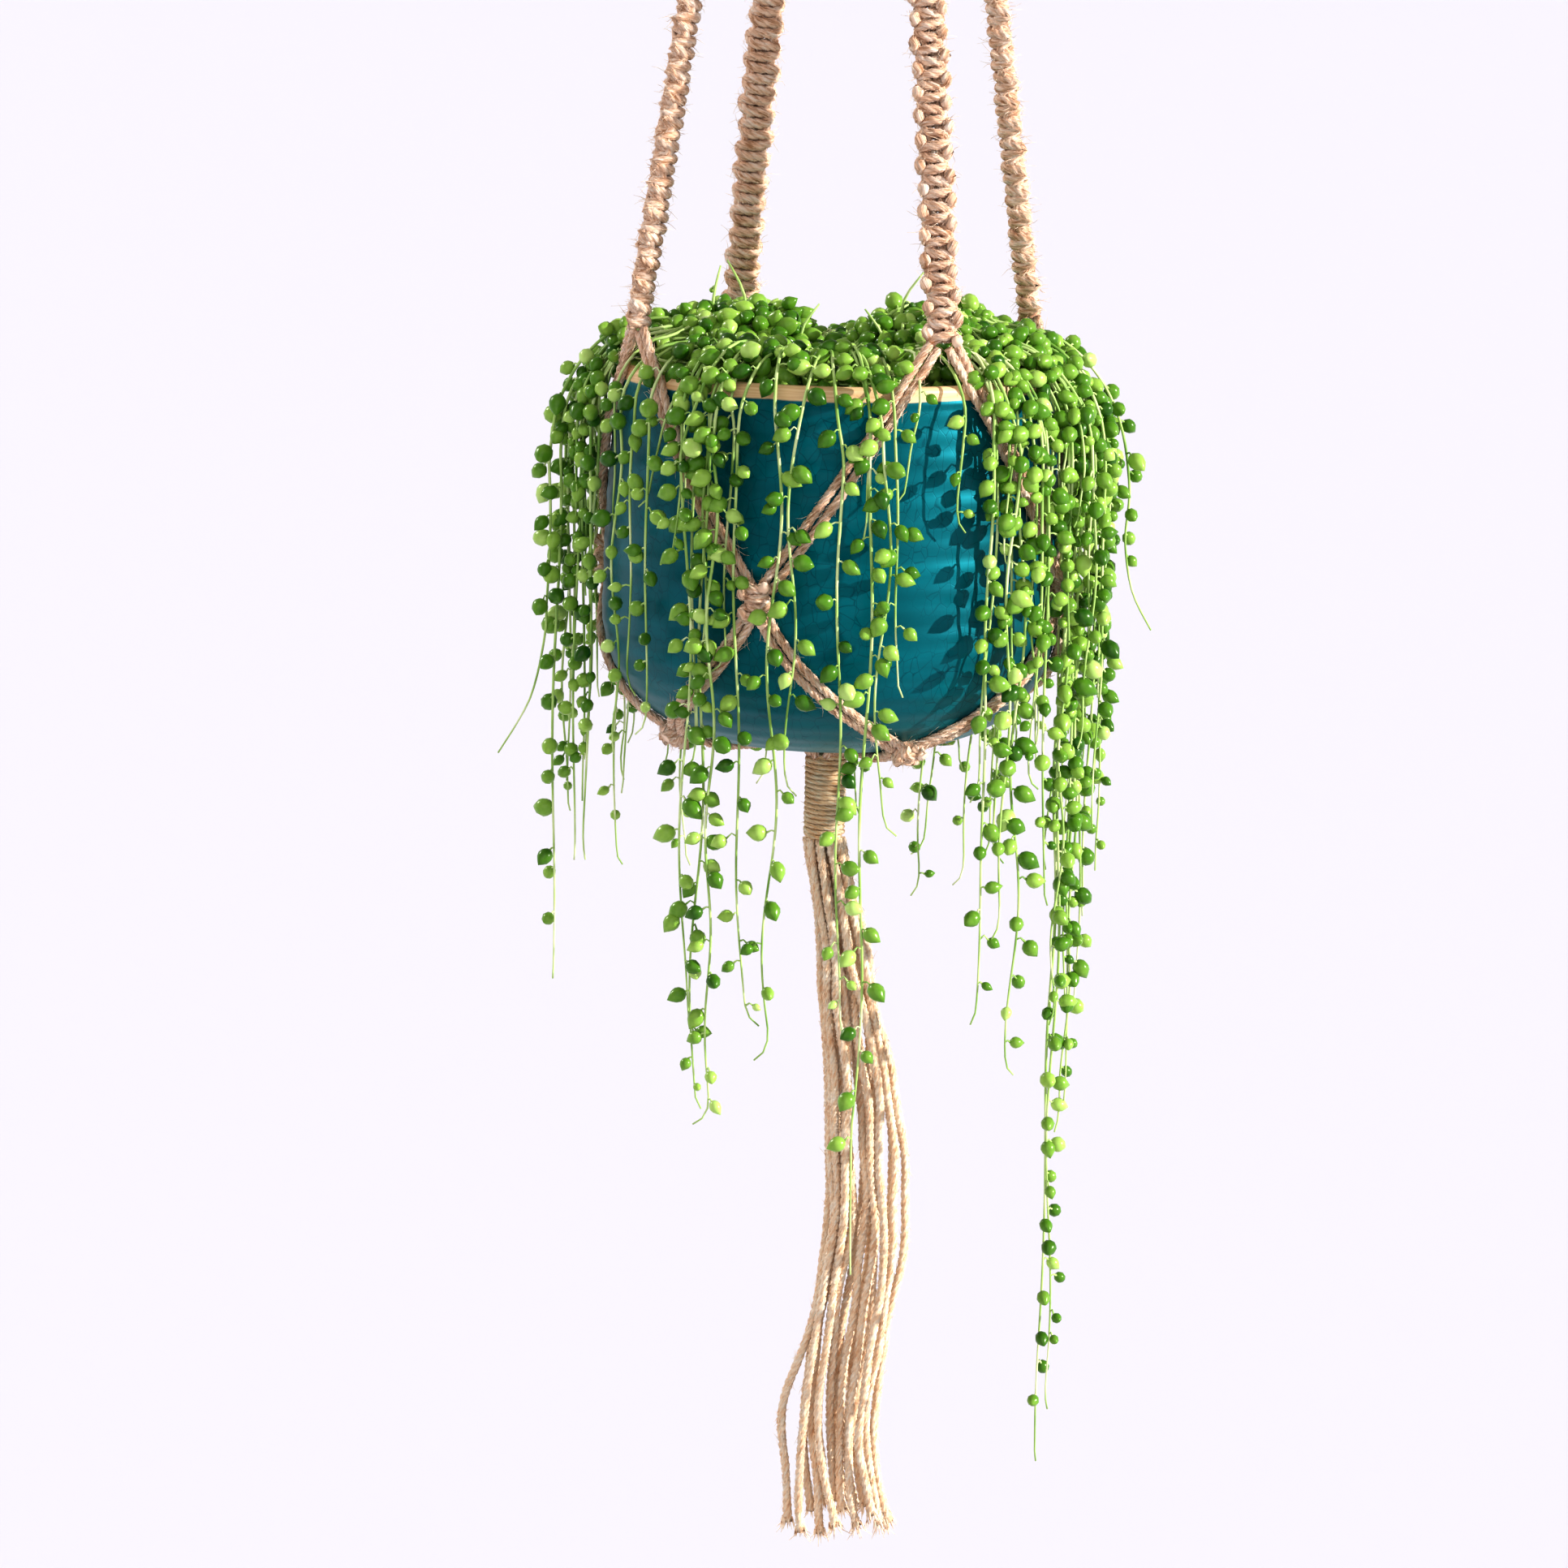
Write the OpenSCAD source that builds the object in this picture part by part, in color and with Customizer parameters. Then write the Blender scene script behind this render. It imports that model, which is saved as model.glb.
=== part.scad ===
// String of pearls plant in a glazed pot, carried by a knotted jute hanger.
// The origin is the point where a hook touches the inside top of the hanging ring.
// +Z is up, -Y is the front, and everything hangs below the ring.

/* [Hanging ring] */
// Outer diameter of the ring
ring_d = 60; // [50:1:80]
// Diameter of the ring's rod
ring_rod = 10; // [8:0.5:12]

/* [Hanger] */
// Drop from the hook to the pot's rim
drop = 600; // [520:5:700]
// Turn of the four straps about the pot, from the front towards +X
hanger_turn = 27; // [0:1:44]
// Diameter of one jute cord
cord_d = 3.8; // [3:0.1:4.2]
// Width of a knotted strap
strap_w = 16; // [13:0.5:18]
// Thickness of a knotted strap
strap_t = 8; // [6:0.5:9]
// Height of one square knot in a strap
knot_pitch = 9; // [8:0.5:11]
// Drop from the pot's rim to the middle of the side knots
side_knot_drop = 83; // [70:1:90]

/* [Tassel] */
// Outer diameter of the binding above the tassel
tassel_wrap_d = 17; // [17:0.5:22]
// Height of the binding above the tassel
tassel_wrap_h = 35; // [25:1:45]
// Diameter of one tassel strand
strand_d = 3.5; // [3:0.1:3.8]

/* [Pot] */
// Outer radius at the rim
rim_r = 86; // [80:1:90]
// Outer radius at the widest height
belly_r = 91.5; // [91:0.5:95]
// Height of the pot
pot_h = 149; // [140:1:160]
// Radius of the rounded bottom corner
corner_r = 50; // [40:1:60]
// Thickness of the pot's wall
wall_t = 5; // [4:0.5:7]
// Depth of the soil below the rim
soil_drop = 12; // [8:1:20]

/* [Plant] */
// Distance from the axis to the inner side of the trailing strings
trail_r = 102; // [101:1:106]
// Thickness of the sheaves that hang in front of the pot and behind it
trail_t = 8; // [8:1:14]
// Thickness of the fuller sheaves at the sides
side_trail_t = 18; // [8:1:20]

/* [Hidden] */
$fn = 48;

jute = "#c39a6b";
leaf = "#5f9a3a";

// Hanging ring
ring_r = (ring_d - ring_rod) / 2;
ring_z = ring_rod - ring_d / 2;

// Binding below the ring
top_wrap_d = 21;
top_wrap_h = 38;
top_wrap_z = ring_z - ring_d / 2 - 8;
top_wrap_end = top_wrap_z - top_wrap_h;
twine_d = 2;

// Straps, from just below the binding to just above the rim
rim_z = -drop;
strap_top_r = 12;
strap_top_z = top_wrap_end - 12;
split_rise = 17;
strap_end_r = rim_r + cord_d / 2;
strap_end_z = rim_z + split_rise;
strap_fall = strap_top_z - strap_end_z;
strap_lean = atan((strap_end_r - strap_top_r) / strap_fall);
strap_len = strap_fall / cos(strap_lean);

// The pot's side, measured along its surface down from the rim
belly_drop = pot_h - corner_r;
side_bulge = belly_r - rim_r;
side_arc = (belly_drop * belly_drop + side_bulge * side_bulge) / (2 * side_bulge);
corner_x = belly_r - corner_r;
corner_len = corner_r * PI / 2;
base_s = belly_drop + corner_len;

// Radius of the heap of stems and leaves inside the ring of straps
crown_r = rim_r - 8;

// Knots where the cord pairs meet
knot_len = 2 * knot_pitch - 4;
knot_w = 13;
cord_out = cord_d / 2;
edge_angle = 60;
edge_s = belly_drop + corner_r * edge_angle * PI / 180;
pair_tilt = 34;
pair_start = 2.5;
pair_end = 43;
cord_bow = 1.4;

// Binding under the pot
tassel_wrap_z = rim_z - pot_h - 8;
tassel_z = tassel_wrap_z - tassel_wrap_h;
base_turn_r = 6;

// Tassel strands, from the binding's lower face: across, back, and down
strand_routes = [
    [[-7, 0, 0], [1, -2, 55], [5, -3, 110], [6, -4, 160], [-3, -5, 210], [-10, -6, 250], [-7, -5, 288]],
    [[-5.5, -4, 0], [2, -6, 55], [7, -6, 110], [8, -7, 160], [1, -8, 210], [-5, -9, 250], [-1, -9, 292]],
    [[-5.5, 4, 0], [1, 3, 55], [5, 2, 110], [6, 1, 160], [0, 0, 210], [-2, 0, 250], [2, 1, 286]],
    [[-3.5, 1, 0], [4, 0, 55], [9, -1, 110], [10, -2, 160], [4, -3, 210], [1, -4, 250], [6, -5, 294]],
    [[-2, 6.5, 0], [5, 6, 55], [8, 6, 110], [9, 6, 160], [3, 5, 210], [3, 5, 250], [8, 6, 283]],
    [[-2, -6.5, 0], [6, -8, 55], [11, -9, 110], [13, -9, 160], [7, -8, 210], [5, -8, 250], [11, -9, 290]],
    [[-2, -3, 0], [7, -4, 55], [12, -5, 110], [14, -4, 160], [9, -3, 210], [8, -1, 250], [12, 1, 279]],
    [[0, 3.5, 0], [9, 4, 55], [16, 4, 110], [19, 4, 160], [13, 4, 210], [11, 4, 250], [16, 6, 280]],
    [[0, 0, 0], [10, 0, 55], [18, 0, 110], [21, -1, 160], [15, -2, 210], [13, -4, 250], [17, -4, 284]],
    [[2, 6.5, 0], [12, 8, 55], [20, 8, 110], [24, 8, 160], [18, 8, 210], [15, 8, 250], [20, 9, 286]],
    [[2, -3, 0], [12, -4, 55], [21, -4, 110], [25, -5, 160], [20, -6, 210], [16, -8, 250], [22, -8, 288]],
    [[2, -6.5, 0], [14, -8, 55], [25, -9, 110], [28, -9, 160], [25, -10, 210], [20, -11, 250], [26, -11, 285]],
    [[3.5, 1, 0], [14, 1, 55], [24, 2, 110], [27, 3, 160], [22, 3, 210], [18, 2, 250], [24, 1, 283]],
    [[5.5, 4, 0], [17, 5, 55], [28, 6, 110], [32, 7, 160], [27, 7, 210], [22, 6, 250], [28, 5, 287]],
    [[5.5, -4, 0], [18, -4, 55], [30, -4, 110], [33, -4, 160], [29, -4, 210], [24, -4, 250], [30, -4, 291]],
    [[7, 0, 0], [20, 0, 55], [33, 0, 110], [37, 1, 160], [31, 1, 210], [27, 0, 250], [36, -1, 289]]
];
strand_steps = 4;

// Sheaves of trailing strings: the azimuth where each starts, its thickness, and its fingers' falls
// below the rim. Each finger takes up the same angle.
finger = 6;
finger_gap = 0.8;
left_sheaf = [-106, side_trail_t, [205, 255, 235, 190, 215]];
front_left_sheaf = [-51, trail_t, [230, 290, 300, 265, 245, 120]];
front_sheaf = [-9, trail_t, [150, 275, 285, 110]];
front_right_sheaf = [38, trail_t, [230, 270, 300, 260]];
right_long_sheaf = [63.5, trail_t, [445, 390]];
right_sheaf = [77, side_trail_t, [290, 240, 215, 255, 185]];
back_right_sheaf = [129, trail_t, [200, 235, 240, 205, 160]];
back_sheaf = [163, trail_t, [180, 220, 205, 190, 215]];
back_left_sheaf = [-140, trail_t, [170, 210, 235, 195, 220]];
sheaves = [
    left_sheaf, front_left_sheaf, front_sheaf, front_right_sheaf, right_long_sheaf,
    right_sheaf, back_right_sheaf, back_sheaf, back_left_sheaf
];
mat_low = 3;
mat_top = 10;
mat_inner_r = crown_r - 20;

function unit(v) = v / norm(v);

// Point [radius, height] on the pot's side, s along its surface, out from it
function side_point(s, out) =
    s < 0 ? [rim_r + out, -s] :
    s < belly_drop ? [belly_r - side_arc + out
                      + sqrt(side_arc * side_arc - pow(belly_drop - s, 2)), -s] :
    s < base_s ? let (a = (s - belly_drop) / corner_r * 180 / PI)
                 [corner_x + (corner_r + out) * cos(a), -belly_drop - (corner_r + out) * sin(a)] :
    [corner_x - (s - base_s), -pot_h - out];

// The same point turned to an azimuth from the front, in the part's frame
function around(s, az, out) =
    let (p = side_point(s, out)) [p[0] * sin(az), -p[0] * cos(az), rim_z + p[1]];

// Catmull-Rom curve through the points of a route
function curve_at(p0, p1, p2, p3, t) =
    0.5 * (2 * p1 + (p2 - p0) * t + (2 * p0 - 5 * p1 + 4 * p2 - p3) * t * t
           + (3 * p1 - p0 - 3 * p2 + p3) * t * t * t);
function smooth_route(p, steps) = let (last = len(p) - 1) concat(
    [for (i = [0:last - 1], k = [0:steps - 1])
        curve_at(p[max(i - 1, 0)], p[i], p[i + 1], p[min(i + 2, last)], k / steps)],
    [p[last]]);

// Round tube along a path, with eight sides
module tube(path, d, across = [0, 1, 0]) {
    sides = 8;
    last = len(path) - 1;
    rings = [for (i = [0:last])
        let (
            t = unit(path[min(i + 1, last)] - path[max(i - 1, 0)]),
            a = unit(cross(t, across)),
            b = cross(t, a)
        )
        for (k = [0:sides - 1])
            path[i] + d / 2 * (cos(360 * k / sides) * a + sin(360 * k / sides) * b)];
    walls = [for (i = [0:last - 1], k = [0:sides - 1])
        let (n = (k + 1) % sides)
        [i * sides + n, i * sides + k, (i + 1) * sides + k, (i + 1) * sides + n]];
    first_cap = [for (k = [0:sides - 1]) k];
    last_cap = [for (k = [sides - 1:-1:0]) last * sides + k];
    polyhedron(points = rings, faces = concat([first_cap], walls, [last_cap]), convexity = 6);
}

// Straight round cord between two points
module rod(a, b, d) {
    v = b - a;
    translate(a)
        rotate([0, acos(v[2] / norm(v)), atan2(v[1], v[0])])
            cylinder(h = norm(v), d = d);
}

// Row of square knots hanging from the origin, wide along X
module knot_row(w, t, length, knots) {
    pitch = length / knots;
    lobe_r = pitch * 0.55;
    rotate([90, 0, 0])
        linear_extrude(height = t, center = true) {
            translate([lobe_r - w / 2, -length])
                square([w - 2 * lobe_r, length]);
            for (side = [-1, 1], k = [0:knots - 1])
                translate([side * (w / 2 - lobe_r), -(k + 0.5) * pitch])
                    circle(r = lobe_r);
        }
}

// Twine wound tightly round a bundle, its upper face at the origin
module binding(d, h) {
    turns = floor(h / twine_d);
    core_r = (d - twine_d) / 2;
    translate([0, 0, -h])
        cylinder(h = h, r = core_r);
    rotate_extrude()
        for (k = [0:turns - 1])
            translate([core_r, -(k + 0.5) * h / turns])
                circle(d = twine_d * 0.98, $fn = 24);
}

module hanging_ring() {
    color("#c9955c")
        translate([0, 0, ring_z])
            rotate([90, 0, 0])
                rotate_extrude()
                    translate([ring_r, 0])
                        circle(d = ring_rod);
}

// Eight cords folded over the ring's lowest part, their legs going into the binding
module ring_loops() {
    fold_r = (ring_rod + cord_d) / 2;
    step = 13;
    color(jute)
        for (k = [-3.5:1:3.5]) {
            a = k * step;
            outward = [sin(a), 0, -cos(a)];
            rod_centre = [0, 0, ring_z] + ring_r * outward;
            fold = [for (turn = [0:30:180])
                rod_centre + fold_r * ([0, cos(turn), 0] - sin(turn) * outward)];
            tube(concat([[k * 2, 4, top_wrap_z - 1]], fold, [[k * 2, -4, top_wrap_z - 1]]),
                 cord_d, [cos(a), 0, sin(a)]);
        }
}

module top_wrap() {
    color(jute)
        translate([0, 0, top_wrap_z])
            binding(top_wrap_d, top_wrap_h);
}

// Knotted strap with its four cords coming out of the binding
module strap(i) {
    color(jute)
        rotate([0, 0, hanger_turn + 90 * i]) {
            translate([0, -strap_top_r, strap_top_z])
                rotate([-strap_lean, 0, 0])
                    rotate([0, 0, -hanger_turn])
                        knot_row(strap_w, strap_t, strap_len, round(strap_len / knot_pitch));
            for (k = [-1.5:1:1.5]) {
                foot = [k * cord_d * 0.9 * cos(hanger_turn), -k * cord_d * 0.9 * sin(hanger_turn)];
                rod([k * 2.6, -6, top_wrap_end + 1],
                    [foot[0], foot[1] - strap_top_r, strap_top_z - 2], cord_d);
            }
        }
}

// Two pairs of cords from a strap's lower end, over the rim to the side knots on either hand
module upper_cords(i) {
    rings = 9;
    s_start = 1 - split_rise;
    s_end = side_knot_drop - knot_len / 2 + 2;
    half = cord_d / 2;
    color(jute)
        for (side = [-1, 1], j = [-1, 1])
            tube([for (n = [0:rings])
                let (
                    u = n / rings,
                    s = s_start + (s_end - s_start) * u - j * half * sin(pair_tilt),
                    az = side * (pair_start + (pair_end - pair_start) * u
                                 + j * half * cos(pair_tilt) / rim_r * 180 / PI)
                )
                around(s, az + hanger_turn + 90 * i, cord_out)],
                cord_d, [0, 0, 1]);
}

// Two pairs of cords from a side knot, round the pot's bottom corner to the edge knots
module lower_cords(i) {
    rings = 8;
    s_start = side_knot_drop + knot_len / 2 - 2;
    s_end = edge_s - knot_len / 4;
    half = cord_d / 2;
    color(jute)
        for (side = [-1, 1], j = [-1, 1])
            tube([for (n = [0:rings])
                let (
                    u = n / rings,
                    s = s_start + (s_end - s_start) * u - j * half * sin(pair_tilt),
                    spread = half * cos(pair_tilt) / side_point(s, 0)[0] * 180 / PI,
                    az = side * (2 + 39 * pow(u, cord_bow) + j * spread)
                )
                around(s, az + hanger_turn + 45 + 90 * i, cord_out)],
                cord_d, [0, 0, 1]);
}

// Square knots lying on the pot's side, their middle at s along the surface
module wall_knot(s, tilt, knots, length) {
    p = side_point(s, strap_t / 2);
    color(jute)
        translate([0, -p[0], rim_z + p[1]])
            rotate([tilt, 0, 0])
                translate([0, 0, length / 2])
                    knot_row(knot_w, strap_t, length, knots);
}

module side_knot(i) {
    rotate([0, 0, hanger_turn + 45 + 90 * i])
        wall_knot(side_knot_drop, 0, 2, knot_len);
}

module edge_knot(i) {
    rotate([0, 0, hanger_turn + 90 * i])
        wall_knot(edge_s, edge_angle, 1, knot_pitch);
}

// Four flat bundles of four cords, from the edge knots under the pot to the binding
module base_cords() {
    s_start = edge_s + 3;
    s_flat = base_s;
    s_end = base_s + corner_x - base_turn_r - 5;
    stops = [s_start, (s_start + s_flat) / 2, s_flat, (s_flat + s_end) / 2, s_end];
    color(jute)
        for (i = [0:3], k = [-1.5:1:1.5])
            rotate([0, 0, hanger_turn + 90 * i])
                tube(concat(
                    [for (n = [0:4])
                        let (p = around(stops[n], 0, cord_out))
                        [k * (cord_d - 0.45 * n), p[1], p[2]]],
                    [[k * 2, -base_turn_r, tassel_wrap_z - 1]]),
                    cord_d, [1, 0, 0]);
}

module tassel_wrap() {
    color(jute)
        translate([0, 0, tassel_wrap_z])
            binding(tassel_wrap_d, tassel_wrap_h);
}

module tassel_strand(i) {
    color(jute)
        translate([0, 0, tassel_z])
            tube(smooth_route([for (p = strand_routes[i]) [p[0], p[1], -p[2]]], strand_steps),
                 strand_d);
}

module pot() {
    lip = wall_t / 2;
    steps = 24;
    stops = [for (n = [0:steps]) lip + (base_s - lip) * n / steps];
    outer = [for (s = stops) side_point(s, 0)];
    inner = [for (n = [steps:-1:0]) side_point(stops[n], -wall_t)];
    lip_arc = [for (a = [165:-15:15]) [rim_r - lip + lip * cos(a), lip * sin(a) - lip]];
    color("#0f5f72")
        translate([0, 0, rim_z])
            rotate_extrude($fn = 96)
                polygon(concat(outer, [[0, -pot_h], [0, wall_t - pot_h]], inner, lip_arc));
}

module soil() {
    gap = 0.3;
    steps = 20;
    outer = [for (n = [0:steps]) side_point(soil_drop + (base_s - soil_drop) * n / steps, -wall_t - gap)];
    color("#3a2a1e")
        translate([0, 0, rim_z])
            rotate_extrude($fn = 96)
                polygon(concat(outer, [[0, wall_t + gap - pot_h], [0, -soil_drop]]));
}

// Heaped stems and leaves on the soil, and the mats that carry each sheaf's strings over the rim
module plant_crown() {
    color(leaf)
        translate([0, 0, rim_z]) {
            intersection() {
                translate([0, 0, -soil_drop])
                    cylinder(h = 60, r = crown_r);
                union() {
                    translate([-34, -6, -16])
                        sphere(r = 44);
                    translate([36, -4, -20])
                        sphere(r = 45);
                    translate([-4, 36, -20])
                        sphere(r = 43);
                    translate([4, -38, -26])
                        sphere(r = 38);
                }
            }
            for (sheaf = sheaves)
                rotate([0, 0, sheaf[0] - 90])
                    rotate_extrude(angle = finger * len(sheaf[2]) - finger_gap, $fn = 96)
                        translate([mat_inner_r, mat_low])
                            square([trail_r - mat_inner_r, mat_top - mat_low]);
        }
}

// Sheaf of strings that hang from its mat, one finger for each fall
module trail(sheaf) {
    outer = trail_r + sheaf[1];
    color(leaf)
        translate([0, 0, rim_z])
            for (k = [0:len(sheaf[2]) - 1])
                let (fall = sheaf[2][k])
                rotate([0, 0, sheaf[0] + k * finger - 90])
                    rotate_extrude(angle = finger - finger_gap, $fn = 96)
                        polygon([
                            [trail_r, mat_top], [trail_r, -fall], [outer - sheaf[1] / 2, -fall],
                            [outer, 15 - fall], [outer, 2], [outer - 4, mat_top]
                        ]);
}

hanging_ring();
ring_loops();
top_wrap();
strap(0);  // strap_1
strap(1);  // strap_2
strap(2);  // strap_3
strap(3);  // strap_4
upper_cords(0);  // upper_cords_1
upper_cords(1);  // upper_cords_2
upper_cords(2);  // upper_cords_3
upper_cords(3);  // upper_cords_4
side_knot(0);  // side_knot_1
side_knot(1);  // side_knot_2
side_knot(2);  // side_knot_3
side_knot(3);  // side_knot_4
lower_cords(0);  // lower_cords_1
lower_cords(1);  // lower_cords_2
lower_cords(2);  // lower_cords_3
lower_cords(3);  // lower_cords_4
edge_knot(0);  // edge_knot_1
edge_knot(1);  // edge_knot_2
edge_knot(2);  // edge_knot_3
edge_knot(3);  // edge_knot_4
base_cords();
tassel_wrap();
tassel_strand(0);  // tassel_strand_01
tassel_strand(1);  // tassel_strand_02
tassel_strand(2);  // tassel_strand_03
tassel_strand(3);  // tassel_strand_04
tassel_strand(4);  // tassel_strand_05
tassel_strand(5);  // tassel_strand_06
tassel_strand(6);  // tassel_strand_07
tassel_strand(7);  // tassel_strand_08
tassel_strand(8);  // tassel_strand_09
tassel_strand(9);  // tassel_strand_10
tassel_strand(10);  // tassel_strand_11
tassel_strand(11);  // tassel_strand_12
tassel_strand(12);  // tassel_strand_13
tassel_strand(13);  // tassel_strand_14
tassel_strand(14);  // tassel_strand_15
tassel_strand(15);  // tassel_strand_16
pot();
soil();
plant_crown();
trail(left_sheaf);  // trail_left
trail(front_left_sheaf);  // trail_front_left
trail(front_sheaf);  // trail_front
trail(front_right_sheaf);  // trail_front_right
trail(right_sheaf);  // trail_right
trail(right_long_sheaf);  // trail_right_long
trail(back_right_sheaf);  // trail_back_right
trail(back_sheaf);  // trail_back
trail(back_left_sheaf);  // trail_back_left
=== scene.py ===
"""A string of pearls in a glazed pot, carried by a knotted jute hanger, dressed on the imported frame.

Everything is in metres. The origin is where a hook bears in the hanging ring, +Z is up and -Y is
the front. Azimuths are in degrees from the front towards +X, and depths are below the pot's rim.
"""
import math
import random

import bmesh
import bpy
import numpy as np
from mathutils import Matrix, Vector, noise


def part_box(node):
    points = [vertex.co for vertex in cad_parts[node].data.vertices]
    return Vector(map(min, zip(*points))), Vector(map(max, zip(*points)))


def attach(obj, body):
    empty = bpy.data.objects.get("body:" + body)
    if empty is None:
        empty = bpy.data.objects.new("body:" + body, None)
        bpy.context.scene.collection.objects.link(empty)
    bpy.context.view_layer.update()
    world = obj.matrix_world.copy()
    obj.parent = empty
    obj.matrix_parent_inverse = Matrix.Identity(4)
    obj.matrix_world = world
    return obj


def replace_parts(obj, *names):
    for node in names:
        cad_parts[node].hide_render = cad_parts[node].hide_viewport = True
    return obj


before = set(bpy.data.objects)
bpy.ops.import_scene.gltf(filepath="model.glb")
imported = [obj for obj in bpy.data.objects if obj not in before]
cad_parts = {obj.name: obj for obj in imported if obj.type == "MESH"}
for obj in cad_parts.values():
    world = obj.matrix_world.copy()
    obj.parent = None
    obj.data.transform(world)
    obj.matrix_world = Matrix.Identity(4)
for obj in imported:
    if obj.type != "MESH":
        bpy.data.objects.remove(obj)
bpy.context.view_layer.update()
scene = bpy.context.scene
noise.seed_set(1)  # noise_vector takes its offsets from the clock unless this is set

# Pot
RIM_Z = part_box("pot")[1].z
POT_H = RIM_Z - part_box("pot")[0].z
BELLY_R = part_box("pot")[1].x
RIM_R = 0.086
CORNER_R = 0.05
WALL = 0.005
GLAZE_EDGE = 0.0055
SOIL_DROP = RIM_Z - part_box("soil")[1].z

# The pot's side, measured along its surface down from the rim
BELLY_DROP = POT_H - CORNER_R
SIDE_BULGE = BELLY_R - RIM_R
SIDE_ARC = (BELLY_DROP ** 2 + SIDE_BULGE ** 2) / (2 * SIDE_BULGE)
CORNER_X = BELLY_R - CORNER_R
BASE_S = BELLY_DROP + CORNER_R * math.pi / 2

# Hanger
HANGER_TURN = 27
CORD_D = 0.0038
CORD_R = CORD_D / 2
STRAP_TOP_R = 0.012
STRAP_TOP_Z = -0.108
STRAP_END_R = RIM_R + CORD_R
STRAP_END_Z = RIM_Z + 0.017
HALF_KNOT = 0.00454
SIDE_KNOT_S = 0.083
EDGE_ANGLE = 60
EDGE_S = BELLY_DROP + CORNER_R * math.radians(EDGE_ANGLE)
TOP_WRAP_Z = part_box("top_wrap")[1].z
TOP_WRAP_H = TOP_WRAP_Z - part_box("top_wrap")[0].z
TASSEL_WRAP_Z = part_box("tassel_wrap")[1].z
TASSEL_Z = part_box("tassel_wrap")[0].z
TWINE_D = 0.002
PLY_PITCH = 0.0105

# Ring
RING_LOW, RING_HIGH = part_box("hanging_ring")
RING_ROD = (RING_HIGH.y - RING_LOW.y) / 2
RING_R = (RING_HIGH.x - RING_LOW.x) / 2 - RING_ROD
RING_MIDDLE = (RING_HIGH.z + RING_LOW.z) / 2

# Make of a cord: plies, sides of its section, and loose fibres for each metre
PLIES = 3
CORD_SIDES = 12
STRAP_FUZZ = 1700
WALL_FUZZ = 1300
TASSEL_FUZZ = 800
RING_FUZZ = 300
BINDING_FUZZ = 260

# Plant: heaps of leaves (x, y, height of the centre above the rim, radius), and the free tips that
# stand out of them (azimuth, radius, rise)
HEAPS = ((-0.038, 0.006, -0.014, 0.035), (0.038, 0.0, -0.014, 0.037),
         (-0.004, 0.036, -0.04, 0.041), (0.004, -0.038, -0.03, 0.038))
FREE_TIPS = ((-70, 0.016, 0.018), (40, 0.03, 0.02), (-140, 0.02, 0.016), (150, 0.04, 0.019),
             (100, 0.05, 0.017), (-25, 0.05, 0.012), (-95, 0.05, 0.022), (-85, 0.036, 0.024),
             (85, 0.025, 0.021), (175, 0.05, 0.015), (-160, 0.055, 0.017), (60, 0.06, 0.015))
STEM_STEP = 0.005
CROWN_STEMS = 300
CROWN_R = 0.083

# Room
FLOOR_Z = -1.9
FLOOR_HALF = 150
WALL_LIGHT = 0.86
CEILING_LIGHT = 0.26

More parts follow.
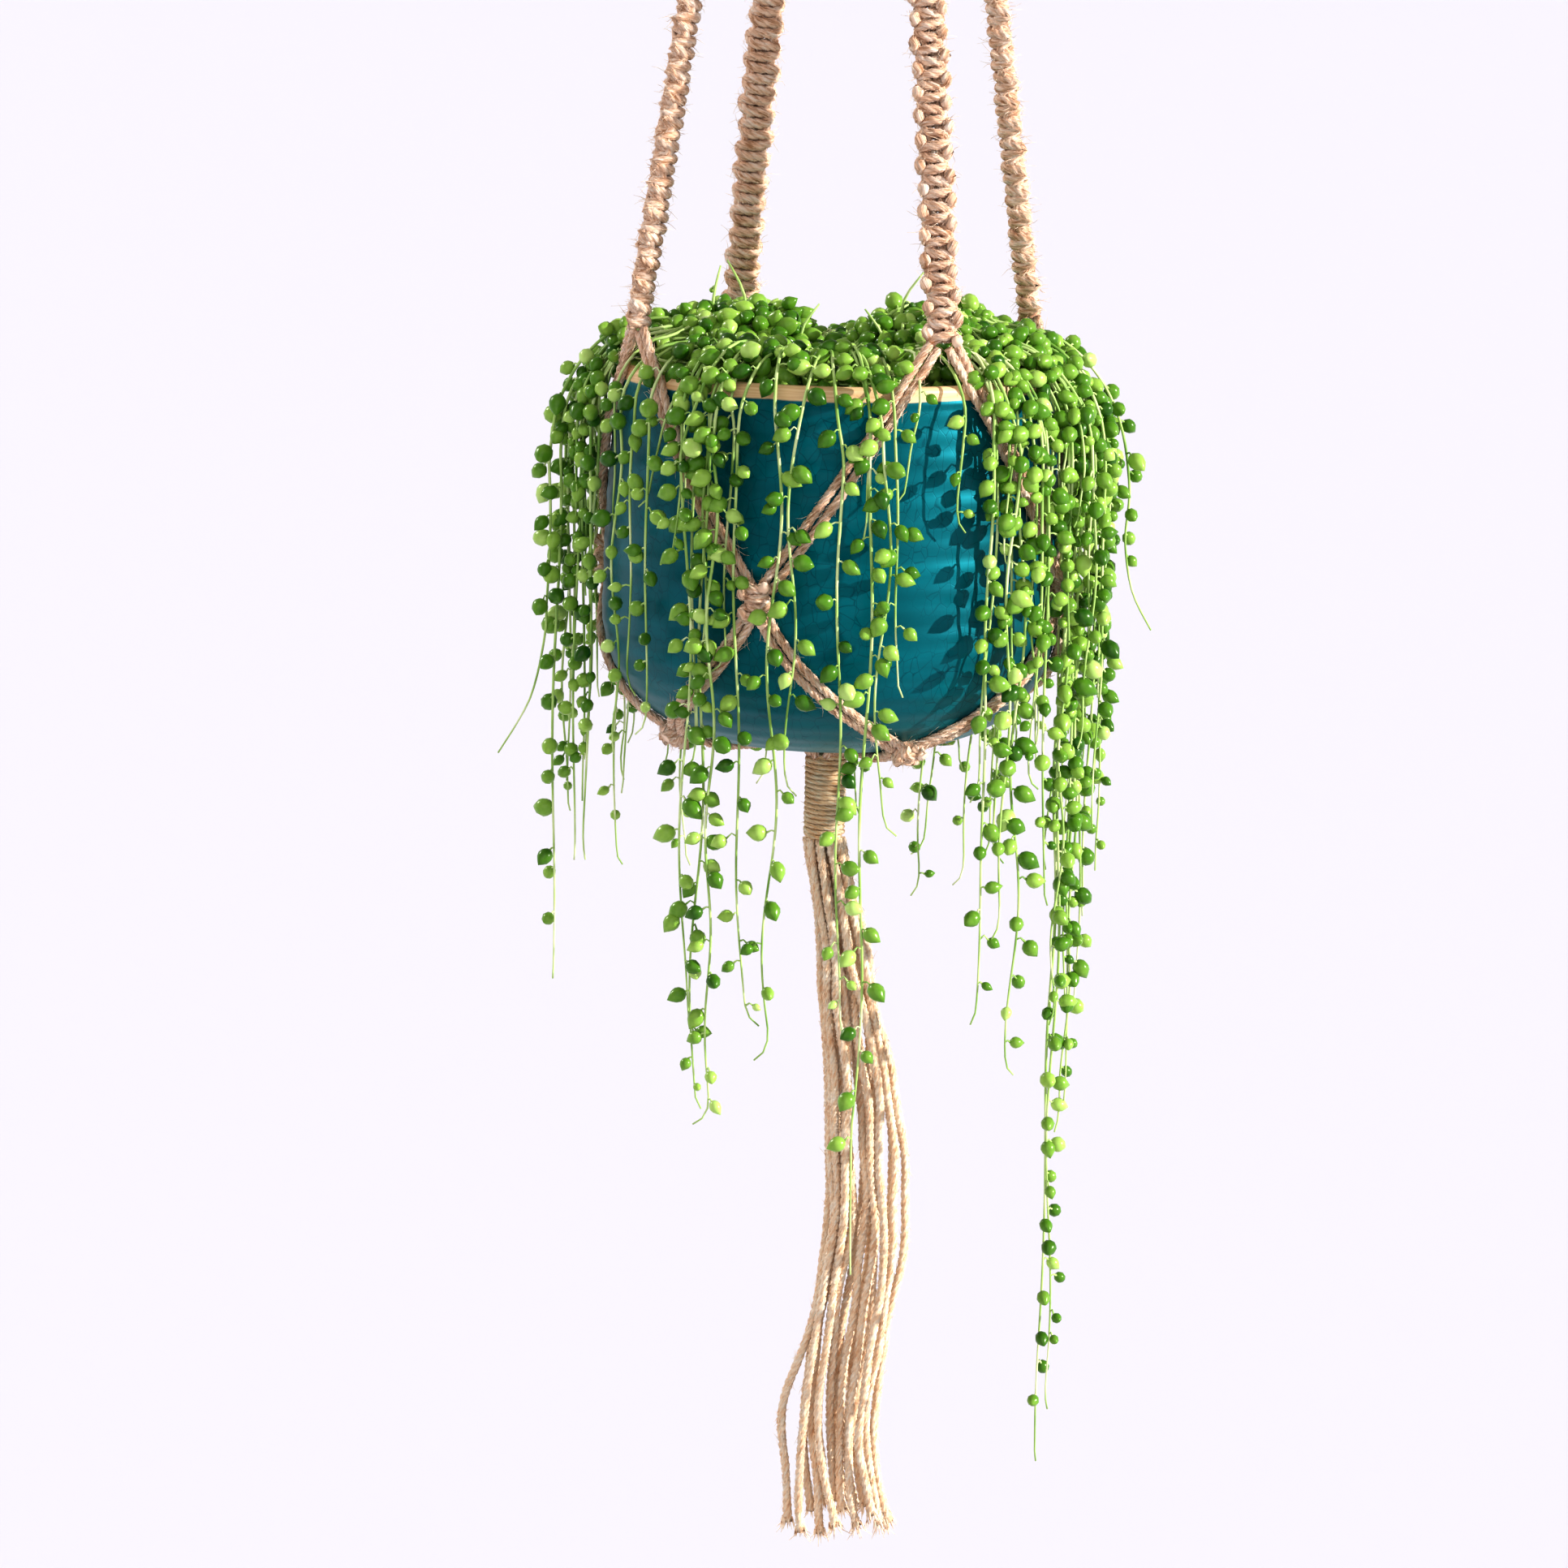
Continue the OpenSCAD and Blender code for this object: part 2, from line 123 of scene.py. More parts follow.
# Tassel strands, each a route of (x, y, depth below the lower binding)
STRAND_D = 0.0035
STRAND_ROUTES = (
    ((-0.007, 0, 0), (0.001, -0.002, 0.055), (0.005, -0.003, 0.11), (0.006, -0.004, 0.16),
     (-0.003, -0.005, 0.21), (-0.01, -0.006, 0.25), (-0.007, -0.005, 0.288)),
    ((-0.0055, -0.004, 0), (0.002, -0.006, 0.055), (0.007, -0.006, 0.11), (0.008, -0.007, 0.16),
     (0.001, -0.008, 0.21), (-0.005, -0.009, 0.25), (-0.001, -0.009, 0.292)),
    ((-0.0055, 0.004, 0), (0.001, 0.003, 0.055), (0.005, 0.002, 0.11), (0.006, 0.001, 0.16),
     (0, 0, 0.21), (-0.002, 0, 0.25), (0.002, 0.001, 0.286)),
    ((-0.0035, 0.001, 0), (0.004, 0, 0.055), (0.009, -0.001, 0.11), (0.01, -0.002, 0.16),
     (0.004, -0.003, 0.21), (0.001, -0.004, 0.25), (0.006, -0.005, 0.294)),
    ((-0.002, 0.0065, 0), (0.005, 0.006, 0.055), (0.008, 0.006, 0.11), (0.009, 0.006, 0.16),
     (0.003, 0.005, 0.21), (0.003, 0.005, 0.25), (0.008, 0.006, 0.283)),
    ((-0.002, -0.0065, 0), (0.006, -0.008, 0.055), (0.011, -0.009, 0.11), (0.013, -0.009, 0.16),
     (0.007, -0.008, 0.21), (0.005, -0.008, 0.25), (0.011, -0.009, 0.29)),
    ((-0.002, -0.003, 0), (0.007, -0.004, 0.055), (0.012, -0.005, 0.11), (0.014, -0.004, 0.16),
     (0.009, -0.003, 0.21), (0.008, -0.001, 0.25), (0.012, 0.001, 0.279)),
    ((0, 0.0035, 0), (0.009, 0.004, 0.055), (0.016, 0.004, 0.11), (0.019, 0.004, 0.16),
     (0.013, 0.004, 0.21), (0.011, 0.004, 0.25), (0.016, 0.006, 0.28)),
    ((0, 0, 0), (0.01, 0, 0.055), (0.018, 0, 0.11), (0.021, -0.001, 0.16),
     (0.015, -0.002, 0.21), (0.013, -0.004, 0.25), (0.017, -0.004, 0.284)),
    ((0.002, 0.0065, 0), (0.012, 0.008, 0.055), (0.02, 0.008, 0.11), (0.024, 0.008, 0.16),
     (0.018, 0.008, 0.21), (0.015, 0.008, 0.25), (0.02, 0.009, 0.286)),
    ((0.002, -0.003, 0), (0.012, -0.004, 0.055), (0.021, -0.004, 0.11), (0.025, -0.005, 0.16),
     (0.02, -0.006, 0.21), (0.016, -0.008, 0.25), (0.022, -0.008, 0.288)),
    ((0.002, -0.0065, 0), (0.014, -0.008, 0.055), (0.025, -0.009, 0.11), (0.028, -0.009, 0.16),
     (0.025, -0.01, 0.21), (0.02, -0.011, 0.25), (0.026, -0.011, 0.285)),
    ((0.0035, 0.001, 0), (0.014, 0.001, 0.055), (0.024, 0.002, 0.11), (0.027, 0.003, 0.16),
     (0.022, 0.003, 0.21), (0.018, 0.002, 0.25), (0.024, 0.001, 0.283)),
    ((0.0055, 0.004, 0), (0.017, 0.005, 0.055), (0.028, 0.006, 0.11), (0.032, 0.007, 0.16),
     (0.027, 0.007, 0.21), (0.022, 0.006, 0.25), (0.028, 0.005, 0.287)),
    ((0.0055, -0.004, 0), (0.018, -0.004, 0.055), (0.03, -0.004, 0.11), (0.033, -0.004, 0.16),
     (0.029, -0.004, 0.21), (0.024, -0.004, 0.25), (0.03, -0.004, 0.291)),
    ((0.007, 0, 0), (0.02, 0, 0.055), (0.033, 0, 0.11), (0.037, 0.001, 0.16),
     (0.031, 0.001, 0.21), (0.027, 0, 0.25), (0.036, -0.001, 0.289)),
)


def side_point(s, out=0.0):
    """Radius and height from the rim of the pot's side, s along it and out from it."""
    if s < 0:
        return RIM_R + out, -s
    if s < BELLY_DROP:
        bulge = math.sqrt(SIDE_ARC ** 2 - (BELLY_DROP - s) ** 2) - SIDE_ARC
        return BELLY_R + bulge + out, -s
    if s < BASE_S:
        a = (s - BELLY_DROP) / CORNER_R
        return CORNER_X + (CORNER_R + out) * math.cos(a), -BELLY_DROP - (CORNER_R + out) * math.sin(a)
    return CORNER_X - (s - BASE_S), -POT_H - out


def polar(radius, azimuth, z):
    """Point at a radius and an azimuth, with z from the rim."""
    a = math.radians(azimuth)
    return Vector((radius * math.sin(a), -radius * math.cos(a), RIM_Z + z))


def around(s, azimuth, out):
    """Point on the pot's side at an azimuth."""
    radius, z = side_point(s, out)
    return polar(radius, azimuth, z)


def turned(azimuth):
    """Turn about the hanging line that brings the front to an azimuth."""
    return Matrix.Rotation(math.radians(azimuth), 4, "Z")


def add_camera():
    """Camera two metres in front of the pot, a little above it and slightly rolled."""
    pitch, roll, distance = math.radians(10.89), math.radians(1.39), 2.0
    target = Vector((-0.0167, 0, RIM_Z - 0.1706))
    ahead = Vector((0, math.cos(pitch), -math.sin(pitch)))
    right = Vector((1, 0, 0))
    up = right.cross(ahead)
    across = math.cos(roll) * right + math.sin(roll) * up
    upward = math.cos(roll) * up - math.sin(roll) * right
    data = bpy.data.cameras.new("camera")
    data.lens = 113.7
    data.sensor_width = 36
    camera = bpy.data.objects.new("camera", data)
    turn = Matrix((across, upward, -ahead)).transposed().to_4x4()
    camera.matrix_world = Matrix.Translation(target - distance * ahead) @ turn
    scene.collection.objects.link(camera)
    scene.camera = camera


def add_piece(mesh, name, material):
    """Object of a finished mesh that rides on the part's one body."""
    mesh.materials.append(material)
    mesh.shade_smooth()
    piece = bpy.data.objects.new(name, mesh)
    scene.collection.objects.link(piece)
    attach(piece, "root")
    return piece


# ---------------------------------------------------------------- materials

class Finish:
    """A material's node tree, with short calls to add and join nodes."""

    def __init__(self, name, roughness, specular=0.5):
        self.material = bpy.data.materials.new(name)
        self.material.use_nodes = True
        self.nodes = self.material.node_tree.nodes
        self.links = self.material.node_tree.links
        self.shader = self.nodes["Principled BSDF"]
        self.shader.inputs["Roughness"].default_value = roughness
        self.shader.inputs["Specular IOR Level"].default_value = specular

    def add(self, kind, inputs=None, **settings):
        """New node; inputs are values, or sockets to link from."""
        made = self.nodes.new("ShaderNode" + kind)
        for key, value in settings.items():
            setattr(made, key, value)
        for key, value in (inputs or {}).items():
            if isinstance(value, bpy.types.NodeSocket):
                self.links.new(value, made.inputs[key])
            else:
                made.inputs[key].default_value = value
        return made

    def maths(self, operation, a, b=0.0, c=0.0):
        """Result of a maths node."""
        return self.add("Math", {0: a, 1: b, 2: c}, operation=operation).outputs[0]

    def where(self):
        """Object coordinates."""
        return self.add("TexCoord").outputs["Object"]

    def stretched(self, scale):
        """Object coordinates, scaled along each axis."""
        return self.add("Mapping", {"Vector": self.where(), "Scale": scale}).outputs[0]

    def noise(self, vector, scale, detail=3.0, roughness=0.5):
        """Strength of a noise pattern."""
        settings = {"Vector": vector, "Scale": scale, "Detail": detail, "Roughness": roughness}
        return self.add("TexNoise", settings).outputs["Fac"]

    def ramp(self, factor, stops):
        """Colour ramp with (place, colour) stops."""
        made = self.add("ValToRGB", {"Fac": factor})
        band = made.color_ramp
        while len(band.elements) < len(stops):
            band.elements.new(0.5)
        for element, (place, colour) in zip(band.elements, stops):
            element.position = place
            element.color = (*colour, 1)
        return made.outputs["Color"]

    def step(self, value, low, high):
        """0 below low and 1 above high, smoothly between."""
        made = self.add("MapRange", {"Value": value, "From Min": low, "From Max": high})
        made.interpolation_type = "SMOOTHSTEP"
        return made.outputs[0]

    def mix(self, factor, a, b):
        """Mix of two colours."""
        made = self.add("Mix", data_type="RGBA")
        for key, value in ((0, factor), (6, a), (7, b)):
            if isinstance(value, bpy.types.NodeSocket):
                self.links.new(value, made.inputs[key])
            else:
                made.inputs[key].default_value = value if key == 0 else (*value, 1)
        return made.outputs[2]

    def colour(self, socket):
        """Base colour from a socket."""
        self.links.new(socket, self.shader.inputs["Base Color"])

    def bump(self, height, depth, strength=1.0):
        """Bump of a given depth in metres."""
        made = self.add("Bump", {"Height": height, "Distance": depth, "Strength": strength})
        self.links.new(made.outputs[0], self.shader.inputs["Normal"])


def jute_fibres(finish, fibres, lean, along):
    """Noise drawn out along the fibres of a cord, whose UVs run round it and along it."""
    place = finish.add("SeparateXYZ", {0: finish.add("UVMap", uv_map="UVMap").outputs[0]})
    u, v = place.outputs[0], place.outputs[1]
    turn = finish.maths("MULTIPLY", finish.maths("MULTIPLY_ADD", v, lean, u), math.tau)
    radius = fibres / math.tau
    x = finish.maths("MULTIPLY", finish.maths("COSINE", turn), radius)
    y = finish.maths("MULTIPLY", finish.maths("SINE", turn), radius)
    z = finish.maths("MULTIPLY", v, along)
    return finish.add("CombineXYZ", {0: x, 1: y, 2: z}).outputs[0]


def make_jute(name, dark, middle, light, groove_shade=0.5):
    """Hairy brown cord: strands and fibres along it, painted shade in the grooves between the plies, uneven
    in colour.
    """
    finish = Finish(name, 0.88, 0.25)
    strands = finish.noise(jute_fibres(finish, 12, 0.62, 2.0), 1.0, 2.0, 0.6)
    fibres = finish.noise(jute_fibres(finish, 44, 0.74, 3.2), 1.0, 2.0, 0.6)
    broad = finish.noise(finish.where(), 140, 3.0)
    tone = finish.maths("MULTIPLY_ADD", strands, 0.85, finish.maths("MULTIPLY", fibres, 0.3))
    tone = finish.maths("MULTIPLY_ADD", broad, 0.45, tone)
    shade = finish.ramp(tone, ((0.6, dark), (0.78, middle), (0.96, light)))
    # Painted shade: the colour is pulled towards a darker copy of the dark tone in the grooves between the
    # plies, by groove_shade.
    u = finish.add("SeparateXYZ", {0: finish.add("UVMap", uv_map="UVMap").outputs[0]}).outputs[0]
    ply = finish.maths("ABSOLUTE", finish.maths("COSINE", finish.maths("MULTIPLY", u, PLIES * math.pi)))
    groove = finish.maths("MULTIPLY", finish.step(ply, 0.6, 0.0), groove_shade)
    finish.colour(finish.mix(groove, shade, tuple(0.6 * c for c in dark)))
    relief = finish.maths("MULTIPLY_ADD", fibres, 0.5, strands)
    finish.bump(relief, 0.0011)
    finish.shader.inputs["Sheen Weight"].default_value = 0.15
    finish.shader.inputs["Sheen Roughness"].default_value = 0.5
    return finish.material


def make_fuzz():
    """Loose pale jute fibres."""
    finish = Finish("jute_fuzz", 0.7, 0.3)
    tone = finish.noise(finish.where(), 400, 1.0)
    finish.colour(finish.ramp(tone, ((0.3, (0.4, 0.21, 0.1)), (0.42, (0.85, 0.62, 0.42)),
                                     (0.7, (1.0, 0.9, 0.74)))))
    return finish.material


def make_wood():
    """Turned pale wood with fine grain."""
    finish = Finish("ring_wood", 0.42)
    grain = finish.noise(finish.stretched((60, 60, 900)), 1.0, 4.0, 0.6)
    broad = finish.noise(finish.where(), 35, 2.0)
    tone = finish.maths("MULTIPLY_ADD", broad, 0.5, finish.maths("MULTIPLY", grain, 0.6))
    finish.colour(finish.ramp(tone, ((0.38, (0.33, 0.17, 0.07)), (0.55, (0.55, 0.32, 0.15)),
                                     (0.72, (0.68, 0.43, 0.22)))))
    finish.bump(grain, 0.0001)
    return finish.material


def make_glaze():
    """Deep teal crackle glaze over a bare clay rim."""
    finish = Finish("pot_glaze", 0.12, 0.95)
    finish.shader.inputs["Specular Tint"].default_value = (0.0, 0.68, 0.85, 1)
    finish.shader.inputs["Coat Weight"].default_value = 0.07
    finish.shader.inputs["Coat Roughness"].default_value = 0.12
    where = finish.where()
    height = finish.add("SeparateXYZ", {0: where}).outputs[2]
    throwing = finish.noise(finish.stretched((14, 14, 120)), 1.0, 3.0)
    cloud = finish.noise(where, 30, 4.0)
    depth = finish.maths("MULTIPLY_ADD", throwing, 0.55, finish.maths("MULTIPLY", cloud, 0.5))
    teal = finish.ramp(depth, ((0.3, (0.0002, 0.044, 0.053)), (0.52, (0.0003, 0.074, 0.09)),
                               (0.75, (0.0006, 0.12, 0.145))))
    low = finish.ramp(depth, ((0.3, (0.003, 0.055, 0.055)), (0.58, (0.02, 0.12, 0.115)),
                              (0.8, (0.2, 0.3, 0.27))))
    wander = finish.maths("MULTIPLY_ADD", cloud, 0.02, height)
    base_fade = finish.step(wander, RIM_Z - POT_H + 0.034, RIM_Z - POT_H + 0.012)
    glaze = finish.mix(base_fade, teal, low)
    warp = finish.add("TexNoise", {"Vector": where, "Scale": 60, "Detail": 2.0}).outputs["Color"]
    bent = finish.add("VectorMath", {0: warp, 1: (0.005, 0.005, 0.005)}, operation="MULTIPLY")
    bent = finish.add("VectorMath", {0: where, 1: bent.outputs[0]}, operation="ADD").outputs[0]
    cells = finish.add("Mapping", {"Vector": bent, "Scale": (235, 235, 150)}).outputs[0]
    edge = finish.add("TexVoronoi", {"Vector": cells, "Scale": 1.0}, feature="DISTANCE_TO_EDGE")
    crack = finish.step(edge.outputs["Distance"], 0.04, 0.0)
    crack = finish.maths("MULTIPLY", crack, finish.step(cloud, 0.3, 0.55))
    glaze = finish.mix(finish.maths("MULTIPLY", crack, 0.75), glaze, (0.0, 0.014, 0.022))
    streaks = finish.noise(finish.stretched((60, 60, 1500)), 1.0, 3.0)
    clay = finish.ramp(streaks, ((0.3, (0.78, 0.47, 0.22)), (0.55, (0.9, 0.58, 0.31)),
                                 (0.8, (1.0, 0.74, 0.46))))
    ragged = finish.maths("MULTIPLY_ADD", finish.noise(where, 110, 2.0), 0.0012, height)
    bare = finish.step(ragged, RIM_Z - GLAZE_EDGE + 0.0002, RIM_Z - GLAZE_EDGE + 0.0009)
    finish.colour(finish.mix(bare, glaze, clay))
    rough = finish.maths("MULTIPLY_ADD", bare, 0.2, finish.maths("MULTIPLY_ADD", cloud, 0.12, 0.38))
    finish.links.new(rough, finish.shader.inputs["Roughness"])
    relief = finish.maths("MULTIPLY_ADD", crack, -0.15, finish.maths("MULTIPLY", throwing, 1.0))
    finish.bump(relief, 0.00025, 0.6)
    return finish.material


def make_soil():
    """Dark crumbly potting mix."""
    finish = Finish("soil", 0.95, 0.2)
    crumbs = finish.noise(finish.where(), 260, 5.0, 0.65)
    finish.colour(finish.ramp(crumbs, ((0.35, (0.012, 0.008, 0.005)), (0.55, (0.045, 0.028, 0.016)),
                                       (0.75, (0.13, 0.085, 0.05)))))
    finish.bump(crumbs, 0.0015)
    return finish.material


def make_pearl():
    """Glossy green bead: its own tone, a clear window line down one side and a yellower tip."""
    finish = Finish("pearl_leaf", 0.28, 0.35)
    finish.shader.inputs["Specular Tint"].default_value = (0.95, 1.0, 0.8, 1)
    tone = finish.add("Attribute", attribute_name="tone").outputs["Fac"]
    mottle = finish.noise(finish.where(), 220, 2.0)
    green = finish.ramp(finish.maths("MULTIPLY_ADD", mottle, 0.35, tone),
                        ((0.08, (0.009, 0.075, 0.002)), (0.42, (0.095, 0.245, 0.016)),
                         (0.75, (0.32, 0.51, 0.09)), (1.0, (0.48, 0.66, 0.2))))
    place = finish.add("SeparateXYZ", {0: finish.add("UVMap", uv_map="UVMap").outputs[0]})
    u, v = place.outputs[0], place.outputs[1]
    off = finish.maths("ABSOLUTE", finish.maths("SUBTRACT", u, 0.5))
    window = finish.step(off, 0.05, 0.015)
    window = finish.maths("MULTIPLY", window, finish.step(v, 0.12, 0.35))
    green = finish.mix(finish.maths("MULTIPLY", window, 0.6), green, (0.012, 0.07, 0.004))
    tip = finish.step(v, 0.82, 1.0)
    green = finish.mix(finish.maths("MULTIPLY", tip, 0.5), green, (0.33, 0.4, 0.1))
    finish.colour(green)
    finish.shader.inputs["Subsurface Weight"].default_value = 0.12
    finish.shader.inputs["Subsurface Radius"].default_value = (0.6, 1.0, 0.2)
    finish.shader.inputs["Subsurface Scale"].default_value = 0.002
    finish.bump(mottle, 0.0002, 0.4)
    return finish.material


def make_stem():
    """Thin pale green stem, paler where it is old."""
    finish = Finish("stem", 0.5, 0.4)
    tone = finish.noise(finish.where(), 45, 2.0)
    finish.colour(finish.ramp(tone, ((0.3, (0.17, 0.34, 0.05)), (0.5, (0.42, 0.6, 0.18)),
                                     (0.7, (0.72, 0.8, 0.45)))))
    return finish.material


# ---------------------------------------------------------------- cords

def smooth(points, steps):
    """Catmull-Rom curve through points, as an array."""
    p = np.array([points[0], *points, points[-1]], float)
    t = (np.arange(steps) / steps)[:, None]
    parts = []
    for i in range(1, len(p) - 2):
        a, b, c, d = p[i - 1], p[i], p[i + 1], p[i + 2]
        parts.append(0.5 * (2 * b + (c - a) * t + (2 * a - 5 * b + 4 * c - d) * t ** 2
                            + (3 * b - a - 3 * c + d) * t ** 3))
    return np.vstack([*parts, p[-1:]])


def spaced(path, gap):
    """The same path with its points an even gap apart."""
    path = np.asarray(path, float)
    run = np.concatenate([[0], np.cumsum(np.linalg.norm(np.diff(path, axis=0), axis=1))])
    stops = np.linspace(0, run[-1], max(2, round(run[-1] / gap) + 1))
    return np.column_stack([np.interp(stops, run, path[:, k]) for k in range(3)])


def path_frames(path):
    """Tangent and two normals at each point of a path, carried along it without twist."""
    tangents = np.gradient(path, axis=0)
    tangents /= np.linalg.norm(tangents, axis=1)[:, None] + 1e-12
    first = np.cross(tangents[0], (0.31, 0.93, 0.2))
    sides = [first / np.linalg.norm(first)]
    for t in tangents[1:]:
        side = sides[-1] - t * (sides[-1] @ t)
        sides.append(side / np.linalg.norm(side))
    sides = np.array(sides)
    return tangents, sides, np.cross(tangents, sides)


class Tubes:
    """Closed tubes that make up one mesh, with UVs round and along each."""

    def __init__(self):
        self.points = []
        self.faces = []
        self.uvs = []
        self.count = 0
        self.paths = []

    def add(self, path, radius, sides=6, plies=0, groove=0.3, phase=0.0):
        """Tube along a path. Radius is one number or one at each point; plies give it a twist."""
        path = np.asarray(path, float)
        rings = len(path)
        _, across, over = path_frames(path)
        run = np.concatenate([[0], np.cumsum(np.linalg.norm(np.diff(path, axis=0), axis=1))])
        angle = math.tau * np.arange(sides) / sides
        section = np.ones(sides)
        if plies:
            section = 1 - groove * (1 - np.abs(np.cos(angle * plies / 2)))
        turn = phase + (math.tau * run / PLY_PITCH if plies else 0 * run)
        turn = turn[:, None] + angle[None, :]
        reach = np.broadcast_to(np.asarray(radius, float), (rings,))[:, None] * section[None, :]
        wall = (path[:, None, :] + (reach * np.cos(turn))[..., None] * across[:, None, :]
                + (reach * np.sin(turn))[..., None] * over[:, None, :])
        self.points.append(wall.reshape(-1, 3))
        i, k = np.meshgrid(np.arange(rings - 1), np.arange(sides), indexing="ij")
        n = (k + 1) % sides
        walls = np.stack([i * sides + k, i * sides + n, (i + 1) * sides + n, (i + 1) * sides + k], -1)
        self.faces.extend((walls.reshape(-1, 4) + self.count).tolist())
        u, v = (k + 0.0) / sides, run / 0.01
        low, high = v[i], v[i + 1]
        uv = np.stack([u, low, u + 1 / sides, low, u + 1 / sides, high, u, high], -1)
        self.uvs.append(uv.reshape(-1, 2))
        last = (rings - 1) * sides
        self.faces.append([self.count + k for k in range(sides - 1, -1, -1)])
        self.faces.append([self.count + last + k for k in range(sides)])
        self.uvs.append(np.zeros((2 * sides, 2)))
        self.count += rings * sides
        self.paths.append(path)

    def mesh(self, name):
        """One mesh of all the tubes."""
        made = bpy.data.meshes.new(name)
        made.from_pydata(np.vstack(self.points).tolist(), [], self.faces)
        layer = made.uv_layers.new(name="UVMap")
        layer.data.foreach_set("uv", np.vstack(self.uvs).astype(np.float32).ravel())
        return made


def cord(tubes, path, radius=CORD_R, gap=0.0012, phase=0.0, wobble=0.0, groove=0.2):
    """Three-ply jute cord along a path, a little uneven."""
    path = spaced(path, gap)
    if wobble:
        shift = [noise.noise_vector(Vector(p) * 60 + Vector((phase, 0, 0))) for p in path]
        path = path + wobble * np.array([list(v) for v in shift])
    swell = np.array([noise.noise(Vector((i * gap * 90, phase * 7, 0))) for i in range(len(path))])
    tubes.add(path, radius * (1 + 0.07 * swell), sides=CORD_SIDES, plies=PLIES, groove=groove, phase=phase)


def add_fuzz(name, tubes, per_metre, rng, radius=CORD_R, longest=0.009):
    """Loose fibres standing off the cords of some tubes."""
    hairs = Tubes()
    for path in tubes.paths:
        _, across, over = path_frames(path)
        length = np.linalg.norm(np.diff(path, axis=0), axis=1).sum()
        for _ in range(round(length * per_metre)):
            i = rng.randrange(1, len(path) - 1)
            a = rng.uniform(0, math.tau)
            outward = math.cos(a) * across[i] + math.sin(a) * over[i]
            along = (path[i + 1] - path[i - 1]) * rng.choice((-1, 1))
            along = along / (np.linalg.norm(along) + 1e-12)
            size = rng.uniform(0.25, 1.0) ** 1.6 * longest
            bend = rng.uniform(0.1, 1.1)
            start = path[i] + outward * radius * 0.85
            middle = start + size * 0.5 * (along * 0.8 + outward * bend * 0.5)
            side = np.cross(along, outward) * rng.uniform(-0.5, 0.5)
            end = middle + size * 0.5 * (along * rng.uniform(0.1, 0.9) + outward * bend * 0.5 + side)
            hairs.add([start, middle, end], [0.0001, 0.00009, 0.00003], sides=3)
    add_piece(hairs.mesh(name), name, JUTE_FUZZ)


# ---------------------------------------------------------------- tassel and hanger

def add_cords(tubes, name, material, node):
    """Piece of finished cords that stands for a CAD node."""
    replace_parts(add_piece(tubes.mesh(name), name, material), node)
    return tubes


def add_tassel():
    """Sixteen free strands below the lower binding, each a cord of its own."""
    for i, route in enumerate(STRAND_ROUTES):
        drop = [(x, y, TASSEL_Z - depth) for x, y, depth in route]
        path = spaced(smooth(drop, 5), 0.0014)
        strand = Tubes()
        name = f"tassel_strand_{i + 1:02d}"
        swell = np.array([noise.noise(Vector((k * 0.12, i * 5.0, 0))) for k in range(len(path))])
        waver = np.array([list(noise.noise_vector(Vector((k * 0.035, i * 9.0, 2))))
                          for k in range(len(path))])
        loose = np.minimum(1, np.arange(len(path)) / 40)
        path = path + 0.0034 * waver * loose[:, None]
        flare = 1 + 0.18 * np.clip((np.arange(len(path)) - len(path) + 6) / 6, 0, 1)
        strand.add(path, STRAND_D / 2 * (1.12 + 0.16 * swell) * flare, sides=CORD_SIDES, plies=PLIES,
                   groove=0.24, phase=i * 1.3)
        piece = add_piece(strand.mesh(name + "_cord"), name + "_cord", JUTE_TASSEL)
        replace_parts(piece, name)
        tuple(path[0])
        TASSEL_TUBES.paths.append(path)


def add_frayed_ends(rng):
    """Loose fibres where each strand of the tassel was cut."""
    hairs = Tubes()
    for path in TASSEL_TUBES.paths:
        end = Vector(path[-1])
        down = (end - Vector(path[-5])).normalized()
        across = down.orthogonal()
        for _ in range(18):
            aside = Matrix.Rotation(rng.uniform(0, math.tau), 3, down) @ across
            start = end - down * 0.002 + aside * STRAND_D * 0.45 * math.sqrt(rng.random())
            size = rng.uniform(0.003, 0.007)
            middle = start + down * size * 0.6 + aside * size * 0.1
            tip = start + down * size + aside * size * rng.uniform(0.1, 0.5)
            hairs.add([start, middle, tip], [0.0003, 0.00025, 0.00006], sides=4)
    add_piece(hairs.mesh("tassel_ends"), "tassel_ends", JUTE_FUZZ)


def knot_cords(tubes, place, half_knots, half, reach, depth, phase):
    """Two working cords of a row of half knots tied round two straight ones.

    place brings (across, towards the back, down) to the part's frame.
    """
    steps_each = 14
    t = np.linspace(0, half_knots, round(half_knots * steps_each) + 1)
    down = half * (t + 0.16 * np.sin(math.tau * t))
    swing, bulge = np.cos(math.pi * t), np.abs(np.sin(math.pi * t))
    back = 0.0036
    front = np.column_stack([-0.72 * reach * swing, -0.85 * depth * bulge + 0.0014 * swing ** 6, down])
    held = np.sign(swing) * np.abs(swing) ** 0.7
    rear = np.column_stack([reach * held, -back + (depth + back) * bulge ** 0.9, down])
    for k, lane in enumerate((front, rear)):
        lane[:, 1] += 0.0003 * np.sin(t * 2.1 + phase)
        lane[:, 0] += 0.0004 * np.sin(t * 1.3 + 2 * phase)
        cord(tubes, [place(p) for p in lane], CORD_R * (1.1 + 0.15 * k), gap=0.001,
             phase=phase + 2 * k, wobble=0.0008)
    for x in (-CORD_D / 2, CORD_D / 2):
        core = [place((x, 0, d)) for d in np.linspace(0, down[-1], 12)]
        cord(tubes, core, gap=0.003, phase=phase)


def strap_place(i):
    """Frame of a strap: its axis runs down from the ring, and its face is turned to a side."""
    lean = math.atan2(STRAP_END_R - STRAP_TOP_R, STRAP_TOP_Z - STRAP_END_Z)
    return (turned(HANGER_TURN + 90 * i) @ Matrix.Translation((0, -STRAP_TOP_R, STRAP_TOP_Z))
            @ Matrix.Rotation(-lean, 4, "X") @ turned(-HANGER_TURN))


